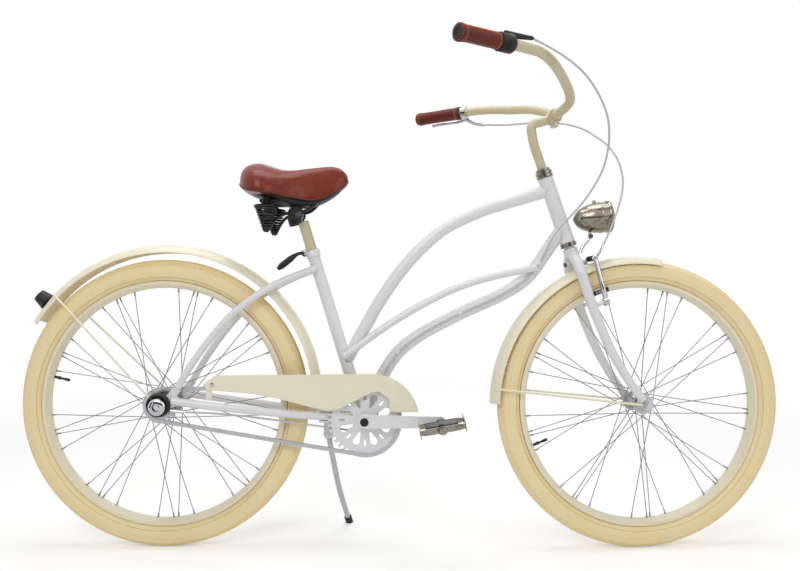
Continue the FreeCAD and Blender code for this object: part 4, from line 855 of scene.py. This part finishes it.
LAMP = (LAMP_CENTRE, LAMP_AHEAD, UP)
detail("lamp_bezel", chrome_painted_dark_reflections, "steering", (
    (turned(((33.2, 36), (37.4, 36), (38.2, 37.5), (38.2, 41.5), (37, 44), (34.6, 45.6),
             (33.2, 44.5)), 64), *LAMP),
    (turned(((36.4, 18), (37, 19), (37, 21), (36.4, 22)), 64), *LAMP),
    (turned(((0, 0), (6.5, 0), (6.5, 2), (4.6, 3), (4.2, 7), (2.5, 8.6),
             (0, 9)), 24), LAMP_CENTRE + LAMP_AHEAD * 8.0 + UP * 33.0, UP),
    (hexagon(6, 5), (990.5, -6, 722), -LEFT)))
detail("lamp_reflector", chrome, "steering", (
    (turned(((5, 4), (12, 8), (22, 16), (29, 27), (32.4, 37), (31.8, 37), (28.4, 27.4),
             (21.6, 16.6), (11.8, 8.8), (5, 5)), 64), *LAMP),))
detail("lamp_bulb", frosted_glass, "steering", (
    (turned(((0, 30), (3, 29), (4.6, 26), (4.8, 22), (3.4, 17), (3.4, 5),
             (0, 5)), 24), *LAMP),))


# Pedals: a round barrel in a toothed cage

PEDAL_LENGTH = 100.0
PEDAL_WIDTH = 84.0
PEDAL_TIP = math.radians(-10)


def pedal_cage(name, joint, side, body, node):
    """A pedal: its toothed cage with a cap outside, and its waisted barrel inside."""
    eye = upright(joint)
    out = LEFT * side
    middle = Vector((eye.x, side * (abs(CRANK_FACE) + 58.0), eye.z))
    tip = Matrix.Rotation(PEDAL_TIP, 4, "Y")
    whole = Matrix.Translation(middle) @ tip
    cage = Piece(name + "_cage")
    tooth = PEDAL_WIDTH / 7
    for end in (-1, 1):
        edge = []
        for k in range(7):
            x = -PEDAL_WIDTH / 2 + k * tooth
            edge += [(x, 9.5), (x + tooth * 0.5, 13.0), (x + tooth, 9.5)]
        outline = dict.fromkeys(edge + [(x, -y) for x, y in edge[::-1]])
        strip = pressed(outline, 2, 0.3)
        cage.add(strip, whole @ facing(Vector((end * (PEDAL_LENGTH / 2 - 1.0), 0, 0)), AHEAD, LEFT))
    for end in (-1, 1):
        outline = []
        for k in range(24):
            a = math.radians(15 * k + 7.5)
            outline.append((PEDAL_LENGTH / 2 * math.copysign(abs(math.cos(a)) ** 0.35, math.cos(a)),
                            7.0 * math.copysign(abs(math.sin(a)) ** 0.6, math.sin(a))))
        plate = pressed(outline, 2.4, 0.4)
        cage.add(plate, whole @ facing((0, end * PEDAL_WIDTH / 2, 0), LEFT, AHEAD))
    cap = turned(((0, 0), (9, 0), (9.5, 1), (8, 5), (0, 6)), 28)
    cage.add(cap, whole @ facing(out * (PEDAL_WIDTH / 2 + 2.0), out))
    cage.finish(chrome_painted_dark_reflections, body, soft_angle=30)
    core = Piece(name + "_barrel")
    core.add(turned(((0.0, -PEDAL_WIDTH / 2 + 3.0), (11.0, -PEDAL_WIDTH / 2 + 3.0),
                     (12.5, -PEDAL_WIDTH / 2 + 8.0), (9.5, -10), (9.5, 10),
                     (12.5, PEDAL_WIDTH / 2 - 8.0), (11.0, PEDAL_WIDTH / 2 - 3.0),
                     (0.0, PEDAL_WIDTH / 2 - 3.0)), 32), whole @ facing((0, 0, 0), LEFT))
    core.add(block(PEDAL_LENGTH - 30, PEDAL_WIDTH - 26, 16, 3), whole)
    core.add(rod(6.5, 40), facing(Vector((eye.x, side * abs(CRANK_FACE), eye.z)), out))
    core.finish(black_plastic, body, (node,), 40.0, slot="black_metal")


CRANK_FACE = max(abs((PARKED.inverted() @ Vector(corner)).y)
                 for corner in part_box("cranks"))
pedal_cage("pedal_right", "pedal_right_turn", -1, "pedal_right", "pedal_right")
pedal_cage("pedal_left", "pedal_left_turn", 1, "pedal_left", "pedal_left")


# Headset: stepped polished cups at both ends of the head tube

def steering_spot(height, ahead=0, side=0):
    """A point beside the steering axis: at a height, then square to the axis."""
    at_height = STEER_FOOT + STEER_UP * ((height - STEER_FOOT.z) / STEER_UP.z)
    return at_height + STEER_AHEAD * ahead + LEFT * side


HEAD_LOW, HEAD_HIGH = 697.0, 858.0
CUP_GAP = STEER_UP * 0.3
detail("headset_cups", chrome_painted_dark_reflections, "frame", (
    (turned(((13.2, 0), (18.6, 0), (20, 1.2), (20, 3.6), (18.2, 4.4), (18.2, 6), (20, 6.8),
             (20, 9.2), (18.4, 10), (13.2, 10)), 56),
     steering_spot(HEAD_LOW) + CUP_GAP, STEER_UP),
    (turned(((13.2, 0), (18.4, 0), (20, 1.4), (20, 6), (18, 7), (18, 8.6), (20, 9.4), (20, 14.6),
             (18.4, 15.4), (17, 16.4), (17, 20), (15.6, 22.4),
             (13.2, 22.4)), 56),
     steering_spot(HEAD_HIGH) + CUP_GAP, STEER_UP)), ("headset",), 30)

# Stem: the lug of the bar clamp and the two ends of its bolt
detail("stem_lug", beige_enamel, "steering", (
    (block(15, 24, 16, 3, 3), (908, 0, 985), UP),), soft_angle=40)
detail("stem_bolts", chrome, "steering", [
    (hexagon(5.4, 4), (908.0, side * 11.8, 984.0), LEFT * side) for side in (-1, 1)])

# Seat collar, its skewer and its lever
SEAT_TOP = Vector((340.64, 0, 688))
SEAT_ANGLE = math.radians(72.9)
SEAT_UP = Vector((-math.cos(SEAT_ANGLE), 0.0, math.sin(SEAT_ANGLE)))
# from the top of the seat tube, in mm, and the lever's thickness there
LEVER_ROWS = ((-19, -15, -6, 0.7), (-27, -17, -6, 0.55), (-36, -17.5, -10, 0.7),
              (-44, -17.5, -16, 1.1), (-58, -17.5, -27, 1.2), (-72, -17.5, -38, 1.2),
              (-78, -17.5, -43, 0.6))
LEVER_RIBS = 5

detail("seat_collar", pearl_white, "frame", (
    (turned(((14.45, -15.4), (16.4, -15.4), (17.3, -14.6), (17.3, -0.2), (16.6, 0.8),
             (14.45, 0.8)), 48), SEAT_TOP, SEAT_UP),
    (block(13, 15, 11, 2), SEAT_TOP + Vector((-17.5, 0, -3)), SEAT_UP)),
    soft_angle=40)
detail("seat_skewer", chrome, "frame", (
    (rod(3.6, 34, sides=20), SEAT_TOP + Vector((-19, -17, -6)), LEFT),
    (turned(((0, 0), (7.4, 0), (7.4, 4.6), (6.2, 6), (0, 6.4)), 24),
     SEAT_TOP + Vector((-19, 13, -6)), LEFT)))
paddle = [(swept([SEAT_TOP + Vector(row[:3]) for row in LEVER_ROWS], 6.2,
                 radii=[row[3] for row in LEVER_ROWS]),)]
paddle += [(turned(((6, -0.9), (7.9, -0.6), (7.9, 0.6), (6, 0.9)), 24),
            SEAT_TOP + Vector((-49.0 - 5.0 * k, -17.5, -20.2 - 3.95 * k)), (-14, 0, -11))
           for k in range(LEVER_RIBS)]
detail("seat_lever_paddle", black_plastic, "frame", paddle, ("seat_clamp",), 40.0, "black_metal")

# Twist shifter: its ribbed sleeve and the spout that feeds the cable
RIGHT_END = mirrored_point(BAR_END, -1)
RIGHT_RUN = mirrored_point(BAR_RUN, -1)
SHIFT_TIP = Vector((793.3, -260, 1100.6))
SLEEVE_RIBS = 8
sleeve = [(11.3, 0), (18, 0)]
for k in range(SLEEVE_RIBS):
    sleeve += [(19.2, 1.0 + 2.4 * k), (19.2, 2.2 + 2.4 * k), (18.2, 2.8 + 2.4 * k)]
sleeve += [(19.4, 21.5), (19.4, 32), (18, 34), (11.3, 34)]
spout = RIGHT_END + RIGHT_RUN * 119.0 + UP * 17.0
detail("shifter_sleeve", black_plastic, "steering", (
    (turned(sleeve, 56), RIGHT_END + RIGHT_RUN * 102.0, RIGHT_RUN),
    (rod(8.0, (SHIFT_TIP - spout).length, 4.2, 28), spout, SHIFT_TIP - spout)),
    ("twist_shifter",), 40)

# Brake: the lever's barrel, the bent guide pipe and the ribbed boot between the arms
LEVER_AT = BAR_END + BAR_RUN * 135.0
LEVER_AHEAD = UP.cross(BAR_RUN).normalized()


def beside_lever(inboard, ahead, down):
    """A point beside the brake lever's clamp, along the bar and square to it."""
    return LEVER_AT + BAR_RUN * inboard + LEVER_AHEAD * ahead - UP * down


LEVER_MOUTH = beside_lever(48, 18, 36)
BARREL_FOOT = beside_lever(41, 18.5, 34.6)
BRAKE_TOP = steering_spot(560.5, 38, -39) + STEER_UP * 102.0
# from the brake's top, in mm
PIPE_ROWS = ((15, -11, 29), (11, -12.5, 20), (5, -13, 9), (1, -10, 1), (0, -3, 0), (0, 9, 0))
BOOT_RIBS = 8
detail("lever_barrel", alloy, "steering", (
    (swept([beside_lever(-6, 22, 9), beside_lever(8, 26, 20), beside_lever(26, 22, 30),
            beside_lever(44, 18, 35)], 5.6, radii=(1.1, 1.15, 0.95, 0.7)),),
    (turned(((0, 0), (4.2, 0), (4.2, 9), (3.2, 11), (0, 11)), 20),
     BARREL_FOOT, LEVER_MOUTH - BARREL_FOOT)), soft_angle=40)
detail("brake_pipe", chrome, "steering", (
    (swept([BRAKE_TOP + Vector(row) for row in PIPE_ROWS], 2.9, 3, 6),),))
ribs = [(0, 0), (3.4, 0)]
for k in range(BOOT_RIBS):
    ribs += [(6.4, 3.0 + 5.0 * k), (4.6, 5.5 + 5.0 * k)]
ribs += [(3.4, 43), (0, 43)]
detail("brake_boot", black_rubber, "steering", (
    (turned(ribs, 24), BRAKE_TOP + LEFT * 12.0, LEFT),), soft_angle=30)

# Cables: ahead, side and up of the points that each one bends round
SHEATH = 2.3
BRAKE_ROUTE = ((822, 252, 1037), (849, 219, 1031), (872, 181, 1026), (893.5, 139, 1019),
               (914, 102, 1011), (936, 70, 1003.5), (961.5, 47.5, 995), (988.5, 31, 981.5),
               (1012, 15, 962), (1034, -1.5, 939), (1050, -15, 911), (1058, -26.5, 880),
               (1060, -36.5, 847), (1053, -44.5, 814), (1042, -49.5, 782), (1030, -52, 750),
               (1018, -52, 722))
SHIFT_FRONT = ((852.5, -260, 1089), (889.5, -249.5, 1069), (923.5, -232.5, 1048),
               (950.5, -210.5, 1024), (974, -186, 997.5), (992.5, -160.5, 969),
               (1002.5, -134, 937.5), (1005, -110.5, 903.5), (1000, -90, 867),
               (984, -73, 831.5), (963.5, -56.5, 797.5), (937, -43, 766.5),
               (910, -33, 736), (887, -25.5, 700))
CLIP = Vector((869, -18.2, 658))
SHIFT_REAR = ((845.5, -18.2, 623.9), (787.9, -18.2, 587.2), (737, -18.2, 563),
              (685.9, -18.2, 542.5), (640, -18.2, 520), (592.6, -18.2, 493.1),
              (540, -18.2, 453), (501, -18.4, 392.5), (495, -19, 345), (495, -21, 306),
              (482, -24, 277), (455, -27, 270), (399.5, -31, 278), (341.5, -36, 287),
              (283.5, -42.5, 296), (226, -49.5, 305), (168, -57, 313), (110, -64, 319),
              (62, -75, 322))


def sheath(name, route, body):
    """A cable's outer sheath along its route."""
    return detail(name, cable_sheath, body, ((swept(route, SHEATH, 3, 6),),), soft_angle=60)


sheath("brake_cable", [LEVER_MOUTH, *BRAKE_ROUTE, BRAKE_TOP + Vector(PIPE_ROWS[0])],
       "steering")
tip = about(STEER_FOOT, STEER_UP, STEER_ANGLE) @ SHIFT_TIP
front_span = sheath("shift_cable_front", [tip, *SHIFT_FRONT, CLIP], None)
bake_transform(front_span)
sheath("shift_cable_rear", [CLIP, *SHIFT_REAR], "frame")
clips = Piece("cable_clips")
for spot, way in ((CLIP, (-0.55, 0, -0.83)), (SHIFT_REAR[3], (-0.9, 0, -0.43)),
                  (SHIFT_REAR[6], (-0.6, 0, -0.8))):
    place = facing(spot, way, LEFT)
    clips.add(turned(((2.2, -5), (4, -5), (4.2, -4.2), (4.2, 4.2), (4, 5),
                      (2.2, 5)), 24), place)
    clips.add(block(5, 5, 8, 0.8), place @ Matrix.Translation((3.6, 0, 0)))
clips.finish(pearl_white, "frame", soft_angle=40)

# Rear hub: dust cover and bell round the axle's nut, and the cable's ferrule beside it
HUB_SIDE = -71.0
detail("hub_dust_cover", black_plastic, "frame", (
    (turned(((12.5, 4), (12.5, 2), (26.5, 2), (27.6, 3), (27, 7), (24.4, 13.4), (23.6, 14),
             (22.4, 13.6), (24.6, 7), (24, 4.6)), 56),
     (2.0, HUB_SIDE, REAR_AXLE.z + 4.0), -LEFT),))
detail("hub_bell", chrome, "frame", (
    (turned(((9.2, 4.5), (17, 4.5), (20.6, 6.5), (21.4, 10), (19, 13.6), (14, 15.6),
             (9.2, 16)), 48), (0.0, HUB_SIDE, REAR_AXLE.z), -LEFT),
    (rod(4, 30, 3, 20), (30, -77, 325), (32, 2, -3))))

# Rear lamp: its red lens in the black body
lamp_low, lamp_high = (PARKED.inverted() @ Vector(corner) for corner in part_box("rear_lamp"))
LAMP_TURN = math.radians(141)
LAMP_OUT = Vector((math.cos(LAMP_TURN), 0.0, math.sin(LAMP_TURN)))
detail("rear_lamp_lens", red_lens, "frame", (
    (turned(((0, 6), (6, 5.2), (11, 3), (13.8, 0), (13.8, -3), (0, -3)), 36),
     (lamp_low + lamp_high) / 2 + LAMP_OUT * 13.2, LAMP_OUT),))

# Bolts of the chain guard and the fork crown, and the caps on the crank bolts
CAP_SIDE = 80.0
detail("frame_bolts", chrome, "frame", (
    (turned(((0, 0), (5.4, 0), (5.4, 1), (4.2, 2.8), (0, 3.4)), 24),
     (120, -60.4, 381.6), -LEFT),))
detail("crown_bolt", dark_steel, "steering", (
    (hexagon(5.6, 6), steering_spot(662, -20), -STEER_AHEAD),))
detail("crank_caps", black_plastic, "crank", [
    (turned(((0, 0), (9.5, 0), (9.5, 1.6), (8, 2.8), (5, 2.8), (5, 1.4),
             (0, 1.4)), 32), BRACKET + LEFT * (side * CAP_SIDE), LEFT * side)
    for side in (-1, 1)])


# Studio
FLOOR_REACH = 14.0
FLOOR_WHITE = 0.93
FLOOR_SEEN = (1.26, 1.26, 1.26, 1.0)


def seen_rays(tree):
    """1 for the rays that show the backdrop: from the camera, a mirror or through glass."""
    paths = tree.add("ShaderNodeLightPath").outputs
    seen = tree.math("MAXIMUM", paths["Is Camera Ray"], paths["Is Glossy Ray"])
    return tree.math("MAXIMUM", seen, paths["Is Transmission Ray"])


def studio_floor():
    """A white floor that keeps the shadow and fades into the white backdrop."""
    shape = bmesh.new()
    bmesh.ops.create_grid(shape, x_segments=2, y_segments=2, size=FLOOR_REACH)
    floor = linked("floor", meshed("floor", shape))
    made, tree = plain_material("floor_white")
    made.node_tree.nodes.remove(made.node_tree.nodes["Principled BSDF"])
    place = tree.add("ShaderNodeTexCoord").outputs["Object"]
    across = tree.add("ShaderNodeVectorMath", operation="LENGTH")
    tree.link(place, across.inputs[0])
    far = tree.span(across.outputs["Value"], 1.1, 2.4, 0.35, 1.0, True)
    camera_ray = tree.add("ShaderNodeLightPath").outputs["Is Camera Ray"]
    tone = tree.mix(camera_ray, (FLOOR_WHITE, FLOOR_WHITE, FLOOR_WHITE, 1.0), FLOOR_SEEN)
    matt = tree.feed(tree.add("ShaderNodeBsdfDiffuse"), {"Color": tone})
    glow = tree.feed(tree.add("ShaderNodeEmission"), {"Color": (1.0, 1.0, 1.0, 1.0)})
    seen = seen_rays(tree)
    blend = tree.add("ShaderNodeMixShader")
    tree.link(tree.math("MULTIPLY", far, seen), blend.inputs[0])
    tree.link(matt.outputs[0], blend.inputs[1])
    tree.link(glow.outputs[0], blend.inputs[2])
    tree.link(blend.outputs[0], made.node_tree.nodes["Material Output"].inputs["Surface"])
    give(floor, made)


def studio_world():
    """White to the camera and in reflections, and a soft even light elsewhere."""
    world = bpy.data.worlds.new("studio")
    world.use_nodes = True
    bpy.context.scene.world = world
    tree = Nodes(world.node_tree)
    sky = world.node_tree.nodes["Background"]
    seen = seen_rays(tree)
    sky.inputs["Color"].default_value = (1.0, 1.0, 1.0, 1.0)
    tree.link(tree.span(seen, 0.0, 1.0, 0.34, 1.0), sky.inputs["Strength"])


# name, place in metres, width, height, watts
SOFTBOXES = (
    ("key_light", (-0.9, -2.6, 2.6), 1.8, 1.4, 30.0),
    ("fill_light", (2.2, -2, 1.5), 1.2, 1.6, 9.0),
    ("top_light", (0, 0.2, 3), 2.6, 1.4, 34.0),
    ("back_light", (0.4, 2.4, 1.6), 2.0, 1.0, 8.0),
)


def softboxes():
    """Four soft lamps, aimed at the bicycle's middle."""
    for name, place, width, height, watts in SOFTBOXES:
        lamp = bpy.data.lights.new(name, "AREA")
        lamp.shape = "RECTANGLE"
        lamp.size = width
        lamp.size_y = height
        lamp.energy = watts
        holder = linked(name, lamp)
        holder.location = place
        holder.rotation_euler = (Vector((0, 0, 0.45)) - Vector(place)).to_track_quat(
            "-Z", "Y").to_euler()


# name, place in metres, width, height: they show in polished metal alone
DARK_CARDS = (
    ("dark_card_left", (-2.6, -2.4, 0.7), 1.0, 2.2),
    ("dark_card_front", (0, -3.4, 1.1), 4.4, 0.8),
    ("dark_card_right", (2.8, -2.2, 0.9), 0.9, 2.4),
    ("dark_card_ahead", (3.2, 0.6, 0.9), 1.0, 2.0),
    ("dark_card_above", (1.2, -0.9, 3.4), 1.6, 0.5),
)


def dark_cards():
    """Dark cards round the set that give polished metal its dark streaks."""
    made, tree = plain_material("card_black")
    shader = made.node_tree.nodes["Principled BSDF"]
    felt = tree.noise(tree.add("ShaderNodeTexCoord").outputs["Object"], 40.0)
    tree.link(tree.mix(felt, (0.012, 0.011, 0.01, 1.0), (0.03, 0.026, 0.022, 1.0)),
              shader.inputs["Base Color"])
    shader.inputs["Roughness"].default_value = 1.0
    for name, place, width, height in DARK_CARDS:
        shape = bmesh.new()
        bmesh.ops.create_grid(shape, x_segments=2, y_segments=2, size=0.5)
        bmesh.ops.scale(shape, verts=shape.verts, vec=(width, height, 1.0))
        aim = (Vector((0, 0, 0.6)) - Vector(place)).to_track_quat("-Z", "Y")
        shape.transform(Matrix.Translation(place) @ aim.to_matrix().to_4x4())
        card = linked(name, meshed(name, shape))
        give(card, made)
        card.visible_camera = False
        card.visible_diffuse = False
        card.visible_shadow = False
        card.visible_transmission = False


studio_floor()
studio_world()
softboxes()
dark_cards()
bpy.context.scene.view_settings.view_transform = "Standard"
